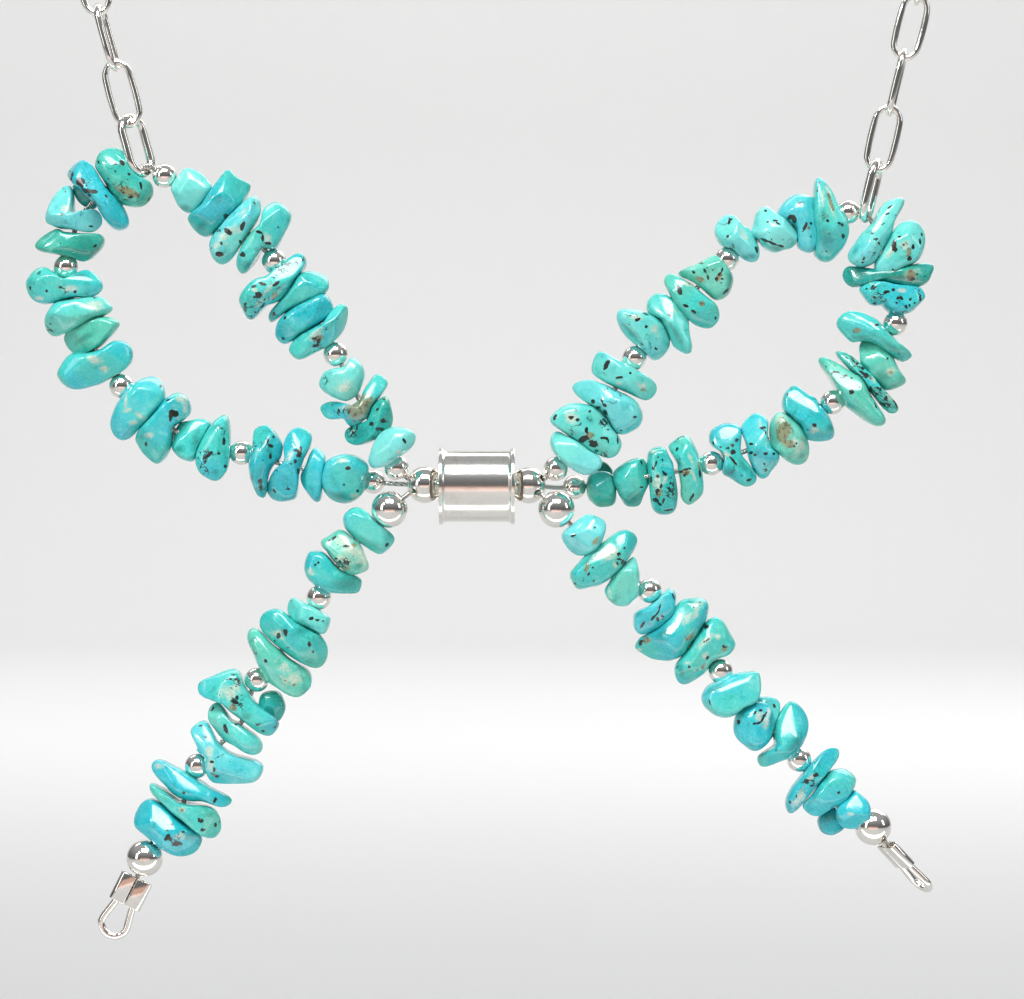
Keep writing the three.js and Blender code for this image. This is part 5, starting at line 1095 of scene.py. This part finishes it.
            (25.35, -25.6, 0.35, 0.16, -60), (29.25, -24.8, 0.28, 0.26, 0)],
        "cream": [(26, -25.4, 2.2, 0.7, 62), (27, -23.6, 0.8, 0.5, 50), (30.2, -26.5, 0.5, 0.4, 0)],
        "deep": [(26.3, -24.65, 0.6, 0.35, 40), (27.3, -25.1, 2.4, 0.4, 52),
            (28.4, -23.6, 1.2, 0.4, 50), (29.3, -26.9, 1.2, 0.3, -70), (28.6, -26.8, 1.6, 0.8, 0)],
    },
}

strands = {"left_loop": 8, "right_loop": 8, "left_tail": 5, "right_tail": 5}   # silver beads
stone = {"facets": 5, "square": 2.5, "proud": 0.1, "lean": 0.16, "dent": 0.1, "dentGrain": 0.55,
         "frontFlats": 5, "rearFlats": 3, "flatness": 0.8, "flatTurn": 0.55, "flatFrom": 0.74,
         "flatTo": 0.9, "outlineSteps": 360, "smoothing": 2}
# the deep kind of mark is mostly painted shade
mark = {"kinds": ("black", "cream", "tan", "deep"), "find": 0.2, "depth": 1.2}


def closedOutline(points):
    # a smooth closed line through the points
    count = len(points)
    line = []
    for k in range(count):
        corners = [Vector((*points[(k + step) % count], 0)) for step in (-1, 0, 1, 2)]
        line += curveLeg(*corners, 6)[:-1]
    return line


def reachAround(points, centre):
    # how far the outline lies from the centre, for a whole turn in equal steps
    line = [(p.x - centre[0], p.y - centre[1]) for p in closedOutline(points)]
    polar = sorted((atan2(z, x), hypot(x, z)) for x, z in line)
    polar = [(polar[-1][0] - 2 * pi, polar[-1][1])] + polar + [(polar[0][0] + 2 * pi, polar[0][1])]
    reach, k = [], 0
    for step in range(stone["outlineSteps"]):
        angle = -pi + 2 * pi * step / stone["outlineSteps"]
        while polar[k + 1][0] < angle:
            k += 1
        (low, near), (high, far) = polar[k], polar[k + 1]
        share = (angle - low) / (high - low) if high > low else 0
        reach.append(near + (far - near) * share)
    return reach


def chipMiddle(chip):
    if len(chip) > 7:
        return chip[7]
    points = chip[0]
    return sum(x for x, z in points) / len(points), sum(z for x, z in points) / len(points)


def shapeChip(bm, chip, y, seed):
    points, deep = chip[:2]
    centre = chipMiddle(chip)
    reach = reachAround(points, centre)
    own = bmesh.ops.create_icosphere(bm, subdivisions=stone["facets"], radius=1)["verts"]
    dice = Random(seed)
    shift = Vector((dice.uniform(-9, 9), dice.uniform(-9, 9), dice.uniform(-9, 9)))
    leanX, leanZ = (dice.uniform(-stone["lean"], stone["lean"]) for _ in range(2))
    square = stone["square"]
    for v in own:
        flat = hypot(v.co.x, v.co.z)
        turn = (atan2(v.co.z, v.co.x) + pi) / (2 * pi) * len(reach)
        low = int(turn)
        near, far = reach[low % len(reach)], reach[(low + 1) % len(reach)]
        out = near * (low + 1 - turn) + far * (turn - low)
        swell = (flat ** square + abs(v.co.y) ** square) ** (-1 / square)
        off = v.co * swell * (out + stone["proud"])
        depth = v.co.y * swell * deep / 2
        depth += off.x * leanX + off.z * leanZ
        v.co = (off.x, depth, off.z)
        v.co += noise.noise_vector(v.co * stone["dentGrain"] + shift) * stone["dent"]
    for k in range(stone["frontFlats"] + stone["rearFlats"]):   # tumbled flats with soft edges
        sign = -1 if k < stone["frontFlats"] else 1
        turn = stone["flatTurn"]
        way = Vector((dice.gauss(0, turn), sign, dice.gauss(0, turn))).normalized()
        limit = max(v.co.dot(way) for v in own) * dice.uniform(stone["flatFrom"], stone["flatTo"])
        for v in own:
            over = v.co.dot(way) - limit
            if over > 0:
                v.co -= way * over * stone["flatness"]
    for _ in range(stone["smoothing"]):
        bmesh.ops.smooth_vert(bm, verts=own, factor=0.5, use_axis_x=True, use_axis_y=True,
                              use_axis_z=True)
    bmesh.ops.translate(bm, verts=own, vec=(centre[0], y, centre[1]))
    return own


def layMark(stones, channel, spot, layer):
    # on the stone that the eye meets first at that place
    x, z, long, wide, tilt = spot
    near = [(v.co.y, seed) for seed, own in stones.items() for v in own
            if hypot(v.co.x - x, v.co.z - z) < mark["find"]]
    if not near:
        print("no stone under", spot)
        return
    y, seed = min(near)
    centre = Vector((x, y, z))
    lean = Vector((cos(radians(tilt)), 0, sin(radians(tilt))))
    for v in stones[seed]:
        off = v.co - centre
        along = off.dot(lean)
        across = off.x * lean.z - off.z * lean.x
        reach = hypot(along * 2 / long, across * 2 / wide, off.y / mark["depth"])
        colour = v[layer]
        colour[channel] = max(colour[channel], 1 - reach)
        v[layer] = colour


def chipRun(name, first, last, order):
    bm = bmesh.new()
    tone = bm.verts.layers.float_color.new("tone")
    marked = bm.verts.layers.float_color.new("marks")
    seeded = bm.verts.layers.float.new("seed")
    run = chips[name]
    for k, chip in enumerate(run):
        hue, fade, dark, pale, forward = chip[2:7]
        y = first.y + (last.y - first.y) * (k + 1) / (len(run) + 1) - forward
        for v in shapeChip(bm, chip, y, order * 10 + k):
            v[tone] = (hue, dark, pale, fade)
            v[marked] = (-1, -1, -1, -1)
            v[seeded] = order + k * 0.23
    stones = {}
    for v in bm.verts:
        stones.setdefault(v[seeded], []).append(v)
    for kind, spots in marks[name].items():
        for spot in spots:
            layMark(stones, mark["kinds"].index(kind), spot, marked)
    bmesh.ops.recalc_face_normals(bm, faces=bm.faces)
    return bm


order = 0
for strand, beadCount in strands.items():
    for k in range(1, beadCount):
        name = f"{strand}_{k}"
        bm = chipRun(name, beadPlace(name), beadPlace(f"{strand}_{k + 1}"), order)
        asPiece(bm, f"turquoise_{name}", turquoise, [f"chips_{name}"])
        order += 1
print("chips strung:", order, "runs")


# lip and bore: how far the hole's edge draws in, and how deep it sinks as a share of the radius
bead = {"large": 3, "round": 36, "across": 24, "hole": 0.3, "lip": (0.9, 0.06),
        "bore": (0.86, 0.35)}


def silverBead(name, centre, diameter, along):
    bm = bmesh.new()
    radius = diameter / 2
    bmesh.ops.create_uvsphere(bm, u_segments=bead["round"], v_segments=bead["across"],
                              radius=radius)
    poles = [v for v in bm.verts if hypot(v.co.x, v.co.y) < radius * bead["hole"]]
    bmesh.ops.delete(bm, geom=poles, context="VERTS")
    rims = [e for e in bm.edges if e.is_boundary]
    for squeeze, sink in (bead["lip"], bead["bore"]):
        grown = bmesh.ops.extrude_edge_only(bm, edges=rims)["geom"]
        for v in vertsOf(grown):
            v.co.x *= squeeze
            v.co.y *= squeeze
            v.co.z -= (1 if v.co.z > 0 else -1) * radius * sink
        rims = edgesOf(grown)
    bmesh.ops.bridge_loops(bm, edges=rims)
    bmesh.ops.recalc_face_normals(bm, faces=bm.faces)
    bmesh.ops.transform(bm, matrix=standing(centre, along), verts=bm.verts)
    asPiece(bm, "silver_" + name, silver, ["bead_" + name])


def alongThread(strand, k):
    # the thread's direction at a bead, from the chips on each side of it
    here = beadPlace(f"{strand}_{k}")
    start, end = here, here
    if k > 1:
        x, z = chipMiddle(chips[f"{strand}_{k - 1}"][-1])
        start = Vector((x, here.y, z))
    if k < strands[strand]:
        x, z = chipMiddle(chips[f"{strand}_{k}"][0])
        end = Vector((x, here.y, z))
    return end - start


for side in signs:
    name = "tube_" + side
    silverBead(name, beadPlace(name), bead["large"], sideways)
for strand, beadCount in strands.items():
    for k in range(1, beadCount + 1):
        name = f"{strand}_{k}"
        low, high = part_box("bead_" + name)
        silverBead(name, beadPlace(name), (high - low).y / mm, alongThread(strand, k))
print("silver beads set")


tube = {"half": 3.075, "rim": 3.15, "body": 2.93, "bore": 2.6, "lip": 0.3, "slope": 0.14,
        "swell": 0.05, "cove": 0.7, "edge": 0.06, "steps": 96}


def gatheringTube():
    bm = bmesh.new()
    half, rim, body, lip = tube["half"], tube["rim"], tube["body"], tube["lip"]
    outline = [(tube["bore"], -half), (rim, -half), (rim, -half + lip),
               (body + tube["swell"], -half + lip + tube["slope"]), (body, -half + tube["cove"])]
    outline += [(radius, -along) for radius, along in reversed(outline)]
    revolved(bm, outline, tube["steps"])
    softened(bm, tube["edge"])
    asPiece(bm, "gathering_tube", brushedSilver, ["centre_tube"])


gatheringTube()
print("tube turned")


thread = {"radius": 0.2, "inTube": 2.6, "apart": 0.3, "inCrimp": 0.4}
ring = {"long": 5.4, "wide": 3.2, "wire": 0.7, "sides": 20, "arcSteps": 20}
hangs = {   # where the rings sit on the thread, and which way they lean and face
    "left": {"x": -27.2, "z": 25.95, "lean": 15.4, "turn": 54},
    "right": {"x": 31.6, "z": 22.25, "lean": 13.7, "turn": 72},
}
link = {"pitch": 4.7, "wide": 2.65, "wire": 0.56, "sides": 12, "arcSteps": 10, "roll": 80,
        "play": 0.02, "belly": 0.16}
clasp = {"long": 9, "radius": 2, "steps": 64, "eyeRadius": 1.1, "eyeWire": 0.7, "eyeSides": 16,
         "eyeLonger": 0.02, "solder": 0.1}
neck = {"halfWidth": 54, "forward": 96, "down": 140, "rise": 18}
# One side of the chain from the nape forwards: shares of the neck's half width, of the way
# forward and of the way down.
neckRoute = [(0.56, 0.09, 0.02), (0.93, 0.34, 0.085), (1.00, 0.64, 0.20), (0.87, 0.87, 0.385),
             (0.70, 0.98, 0.61)]


def hangPlace(side):   # where the ring sits on the thread and the way up from it, from the nape
    hang = hangs[side]
    lean = radians(hang["lean"])
    up = Vector((signs[side] * sin(lean), 0, cos(lean)))
    return bowCentre / mm + Vector((hang["x"], 0, hang["z"])), up


def hangRing(side):
    start, up = hangPlace(side)
    centre = start + up * (ring["long"] / 2 - ring["wire"] - thread["radius"])
    face = Matrix.Rotation(radians(hangs[side]["turn"]), 3, up) @ front
    bm = bmesh.new()
    addCopy(bm, wireOval(**ring), standing(centre, up, face))
    asPiece(bm, "hanging_" + side, silver, ["ring_" + side], nape)


def chainSide(side):
    start, up = hangPlace(side)
    stops = [start, start + up * neck["rise"]]
    for across, forward, down in reversed(neckRoute):
        stops.append(Vector((signs[side] * across * neck["halfWidth"], -forward * neck["forward"],
                             -down * neck["down"])))
    route = smoothRoute(stops + [nape])
    ringTop = ring["long"] - 2 * ring["wire"] - thread["radius"]
    eyeEnd = clasp["long"] / 2 + 2 * clasp["eyeRadius"] - clasp["solder"] - clasp["eyeWire"] / 2
    span = route[1][-1] - ringTop - eyeEnd
    count = round(span / link["pitch"])
    pitch = span / count
    oval = wireOval(pitch + 2 * link["wire"] - link["play"], link["wide"], link["wire"],
                    link["sides"], link["arcSteps"], link["belly"])
    bm = bmesh.new()
    face = front
    for k in range(count):
        centre, heading = placeAt(route, ringTop + pitch * (k + 0.5))
        face = (face - heading * face.dot(heading)).normalized()
        turn = Matrix.Rotation(radians(link["roll"] if k % 2 else 0), 3, heading)
        addCopy(bm, oval, standing(centre, heading, turn @ face))
    asPiece(bm, "chain_of_links_" + side, silver,
            [f"chain_{side}_front", f"chain_{side}_neck"], nape)
    return count


for side in signs:
    hangRing(side)
    print("chain", side, chainSide(side), "links")


crimp = {"long": 2.4, "wide": 3.0, "thick": 1.05, "sheet": 0.24, "seam": 0.12, "bendSteps": 10,
         "edge": 0.05, "grip": 1.2}
loop = {"wire": 0.62, "reach": 5.5, "feet": 0.74, "belly": 1.06}
pinch = {"places": (-0.84, -0.28, 0.28, 0.84), "wire": 0.54, "from": 0.02, "to": -2.3}
tailEnds = {
    "left": {"x": -27.6, "z": -31.85, "down": -26.6, "back": 0, "roll": 0},
    "right": {"x": 33.27, "z": -29.15, "down": 43, "back": 12, "roll": 72},
}


def foldedCrimp():
    # a sheet folded round into two flaps that meet at a seam in front, hanging down from 0
    bm = bmesh.new()
    bend = (crimp["thick"] - crimp["sheet"]) / 2
    reach = crimp["wide"] / 2 - crimp["sheet"] / 2 - bend
    flap = reach - crimp["seam"] / 2
    start = bm.verts.new((crimp["seam"] / 2, -bend, 0))
    end = bmesh.ops.extrude_vert_indiv(bm, verts=[start])["verts"]
    bmesh.ops.translate(bm, vec=(flap, 0, 0), verts=end)
    for side, far in ((1, -2 * reach), (-1, flap)):
        turned = bmesh.ops.spin(bm, geom=end, cent=(side * reach, 0, 0), axis=upward, angle=pi,
                                steps=crimp["bendSteps"])["geom_last"]
        end = bmesh.ops.extrude_vert_indiv(bm, verts=vertsOf(turned))["verts"]
        bmesh.ops.translate(bm, vec=(far, 0, 0), verts=end)
    bmesh.ops.remove_doubles(bm, verts=bm.verts, dist=1e-4)
    wall = bmesh.ops.extrude_edge_only(bm, edges=bm.edges[:])["geom"]
    bmesh.ops.translate(bm, vec=(0, 0, -crimp["long"]), verts=vertsOf(wall))
    bmesh.ops.recalc_face_normals(bm, faces=bm.faces)
    bmesh.ops.solidify(bm, geom=bm.faces[:], thickness=crimp["sheet"] / 2)
    bmesh.ops.recalc_face_normals(bm, faces=bm.faces)
    softened(bm, crimp["edge"], 2, 50)
    return savedMesh(bm, "folded_crimp")


def crimpWire():
    # down one side, round the bottom of the loop and up the other
    turn = loop["reach"] - loop["wire"] / 2
    feet, belly = loop["feet"], loop["belly"]
    stops = [(-feet, crimp["grip"] - crimp["long"]), (-feet, -crimp["long"])]
    ends = [(feet, z) for x, z in reversed(stops)]
    for angle in range(0, 181, 30):
        a = radians(angle)
        stops.append((-belly * cos(a), -turn + belly * (1 - sin(a))))
    stops = [Vector((x, 0, z)) for x, z in stops + ends]
    return wireAlong("crimp_wire", stops, loop["wire"] / 2, 16, 0.2)


def pinchedWires():
    # the doubled beading wire that the sheet is squeezed on
    bm = bmesh.new()
    for x in pinch["places"]:
        stops = [Vector((x, 0, z)) for z in (pinch["from"], -crimp["long"] / 2, pinch["to"])]
        bm.from_mesh(wireAlong("pinched", stops, pinch["wire"] / 2, 12, 0.4))
    return savedMesh(bm, "pinched_wires")


def endCrimp(side):
    end = tailEnds[side]
    down, back = radians(end["down"]), radians(end["back"])
    axis = Vector((sin(down), 0, -cos(down))) * cos(back) + Vector((0, sin(back), 0))
    face = (front - axis * front.dot(axis)).normalized()
    face = Matrix.Rotation(radians(end["roll"]), 3, axis) @ face
    stand = standing(Vector((end["x"], 0, end["z"])), -axis, face)
    bm = bmesh.new()
    for mesh in (foldedCrimp(), crimpWire(), pinchedWires()):
        addCopy(bm, mesh, stand)
    asPiece(bm, "tail_crimp_" + side, silver, ["end_crimp_" + side])


for side in signs:
    endCrimp(side)
print("crimps folded")


# How far the barrel draws in from its radius: at distances from its end, and from its middle,
# where the two halves meet.
barrelEnd = [(2, 0), (1.1, 0), (0.8, 0.06), (0.55, 0.25), (0.34, 0.55), (0.16, 0.95), (0.04, 1.4),
             (0, 1.8)]
barrelSeam = [(0, 0.36), (0, 0.26), (0.03, 0.2), (0.13, 0.16), (0.14, 0.1)]


def barrelClasp():
    bm = bmesh.new()
    half, radius, wire = clasp["long"] / 2, clasp["radius"], clasp["eyeWire"]
    outline = [(radius - depth, away - half) for depth, away in barrelEnd]
    outline += [(radius - depth, -away) for depth, away in barrelSeam]
    outline += [(out, -along) for out, along in reversed(outline)]
    revolved(bm, outline, clasp["steps"])
    across = 2 * clasp["eyeRadius"] + wire
    eye = wireOval(across + clasp["eyeLonger"], across, wire, clasp["eyeSides"], clasp["eyeSides"])
    reach = half + clasp["eyeRadius"] - clasp["solder"]
    for sign in signs.values():
        addCopy(bm, eye, standing(sideways * sign * reach, sideways * sign, upward))
    asPiece(bm, "barrel_clasp", silver, ["clasp"], nape)


barrelClasp()
print("clasp turned")


def threadStops(strand, beadCount):
    side, kind = strand.split("_")
    gather = beadPlace("tube_" + side)
    inward = -sideways * signs[side] * thread["inTube"]
    stops = [gather + inward, gather]
    for k in range(1, beadCount + 1):
        here = beadPlace(f"{strand}_{k}")
        stops.append(here)
        if k == beadCount:
            break
        if kind == "loop" and k == beadCount // 2:   # the ring hangs here
            stops.append(Vector((hangs[side]["x"], 0, hangs[side]["z"])))
        middles = [chipMiddle(chip) for chip in chips[f"{strand}_{k}"]]
        stops.append(Vector((sum(x for x, z in middles) / len(middles), here.y,
                             sum(z for x, z in middles) / len(middles))))
    if kind == "loop":
        stops += [gather, gather + inward + Vector((0, thread["apart"], 0))]
    else:   # into the crimp
        mouth = Vector((tailEnds[side]["x"], 0, tailEnds[side]["z"]))
        stops.append(mouth + (mouth - stops[-1]).normalized() * thread["inCrimp"])
    return stops


for strand, beadCount in strands.items():
    bm = bmesh.new()
    bm.from_mesh(wireAlong("thread_" + strand, threadStops(strand, beadCount), thread["radius"]))
    asPiece(bm, "beading_wire_" + strand, steel)
print("threaded")


studio = {"distance": 250, "viewWide": 83.25, "aimX": 2.85, "aimZ": -1.1, "sensor": 36,
          "skyTint": (0.94, 0.97, 1, 1), "skyLow": 0.12, "skyTop": 0.25, "skyHeight": 0.9}
# the grey in front is painted shade on the floor
sweep = {"floor": -205, "front": -1100, "back": 1000, "bend": 260, "bendSteps": 24, "reach": 2000,
         "rise": 1400, "painted_shade_grey": (0.42, 0.42, 0.42, 1), "pale": (0.82, 0.82, 0.81, 1),
         "greyTo": -250, "paleFrom": 500, "rough": 0.9}
# each lamp's place from the aim in metres, its size, its watts, its tint and where it points
aim = (0, 0, 0)
lamps = {
    "overhead": ((0, -0.26, 0.36), (0.30, 0.17), 1.9, (1, 1, 1), aim),
    "glint": ((-0.26, -0.30, 0.26), (0.05, 0.05), 0.5, (1, 0.99, 0.97), aim),
    "front_left": ((-0.42, -0.36, 0.12), (0.12, 0.3), 0.3, (1, 0.98, 0.95), aim),
    "front_right": ((0.5, -0.2, 0.2), (0.1, 0.25), 0.22, (1, 1, 1), aim),
    "warm_low": ((0, -0.2, -0.033), (0.24, 0.05), 0.02, (1, 0.55, 0.4), aim),
    "from_below": ((0, -0.018, -0.056), (0.2, 0.016), 0.014, (1, 1, 1), aim),
    "wall_wash": ((0, 0.55, 0.9), (1.6, 0.5), 9.5, (1, 1, 1), (0, 1.3, 0)),
    "rear_fill": ((0.3, 0.5, 0.45), (0.5, 0.4), 0.9, (1, 1, 1), aim),
}


def makeCamera():
    data = bpy.data.cameras.new("camera")
    data.sensor_width = studio["sensor"]
    data.lens = studio["sensor"] * studio["distance"] / studio["viewWide"]
    data.clip_start = 0.01
    camera = bpy.data.objects.new("camera", data)
    target = bowCentre + Vector((studio["aimX"], 0, studio["aimZ"])) * mm
    camera.location = target + front * studio["distance"] * mm
    camera.rotation_euler = (pi / 2, 0, 0)
    bpy.context.scene.collection.objects.link(camera)
    bpy.context.scene.camera = camera
    return target


def makeLamp(name, target, place, size, watts, tint, towards):
    data = bpy.data.lights.new(name, "AREA")
    data.shape = "RECTANGLE"
    data.size, data.size_y = size
    data.energy = watts
    data.color = tint
    lamp = bpy.data.objects.new(name, data)
    lamp.location = target + Vector(place)
    lamp.rotation_euler = (Vector(towards) - Vector(place)).to_track_quat("-Z", "Y").to_euler()
    lamp.visible_camera = False
    bpy.context.scene.collection.objects.link(lamp)


def makeSweep():
    # pale floor that curves up into a pale wall
    bm = bmesh.new()
    floor, back, bend, reach = sweep["floor"], sweep["back"], sweep["bend"], sweep["reach"]
    corners = [bm.verts.new((-reach, y, floor)) for y in (sweep["front"], back)]
    bm.edges.new(corners)
    turned = bmesh.ops.spin(bm, geom=[corners[1]], cent=(-reach, back, floor + bend),
                            axis=sideways, angle=pi / 2, steps=sweep["bendSteps"])["geom_last"]
    top = bmesh.ops.extrude_vert_indiv(bm, verts=vertsOf(turned))["verts"]
    bmesh.ops.translate(bm, vec=(0, 0, sweep["rise"]), verts=top)
    bmesh.ops.remove_doubles(bm, verts=bm.verts, dist=1e-3)
    wide = bmesh.ops.extrude_edge_only(bm, edges=bm.edges[:])["geom"]
    bmesh.ops.translate(bm, vec=(2 * reach, 0, 0), verts=vertsOf(wide))
    bmesh.ops.recalc_face_normals(bm, faces=bm.faces)
    bmesh.ops.scale(bm, vec=(mm, mm, mm), verts=bm.verts)
    mesh = savedMesh(bm, "sweep")
    mesh.shade_smooth()
    # palest at the wall, greyer in front: painted shade that evens out the lamps' pool of light on
    # the front floor, so that silver stands out from it
    material, start, shader = newFinish("sweep_with_painted_shade", Roughness=sweep["rough"])
    depth = start.inMillimetres().axis("Y").step(sweep["greyTo"], sweep["paleFrom"])
    feed(shader, Base_Color=depth.blend(sweep["painted_shade_grey"], sweep["pale"]))
    mesh.materials.append(material)
    backdrop = bpy.data.objects.new("sweep", mesh)
    bpy.context.scene.collection.objects.link(backdrop)


def makeWorld():
    # soft light from above that fades towards the horizon, for dark lines along the silver
    world = bpy.data.worlds.new("studio")
    world.use_nodes = True
    background = world.node_tree.nodes["Background"]
    background.inputs["Color"].default_value = studio["skyTint"]
    sky = Flow(world.node_tree)
    height = sky.node("ShaderNodeNewGeometry", out="Position").axis("Z")
    feed(background,
         Strength=height.step(0, studio["skyHeight"]) * studio["skyTop"] + studio["skyLow"])
    bpy.context.scene.world = world


target = makeCamera()
for name, lamp in lamps.items():
    makeLamp(name, target, *lamp)
makeSweep()
makeWorld()
bpy.context.scene.view_settings.view_transform = "Standard"
print("studio lit")
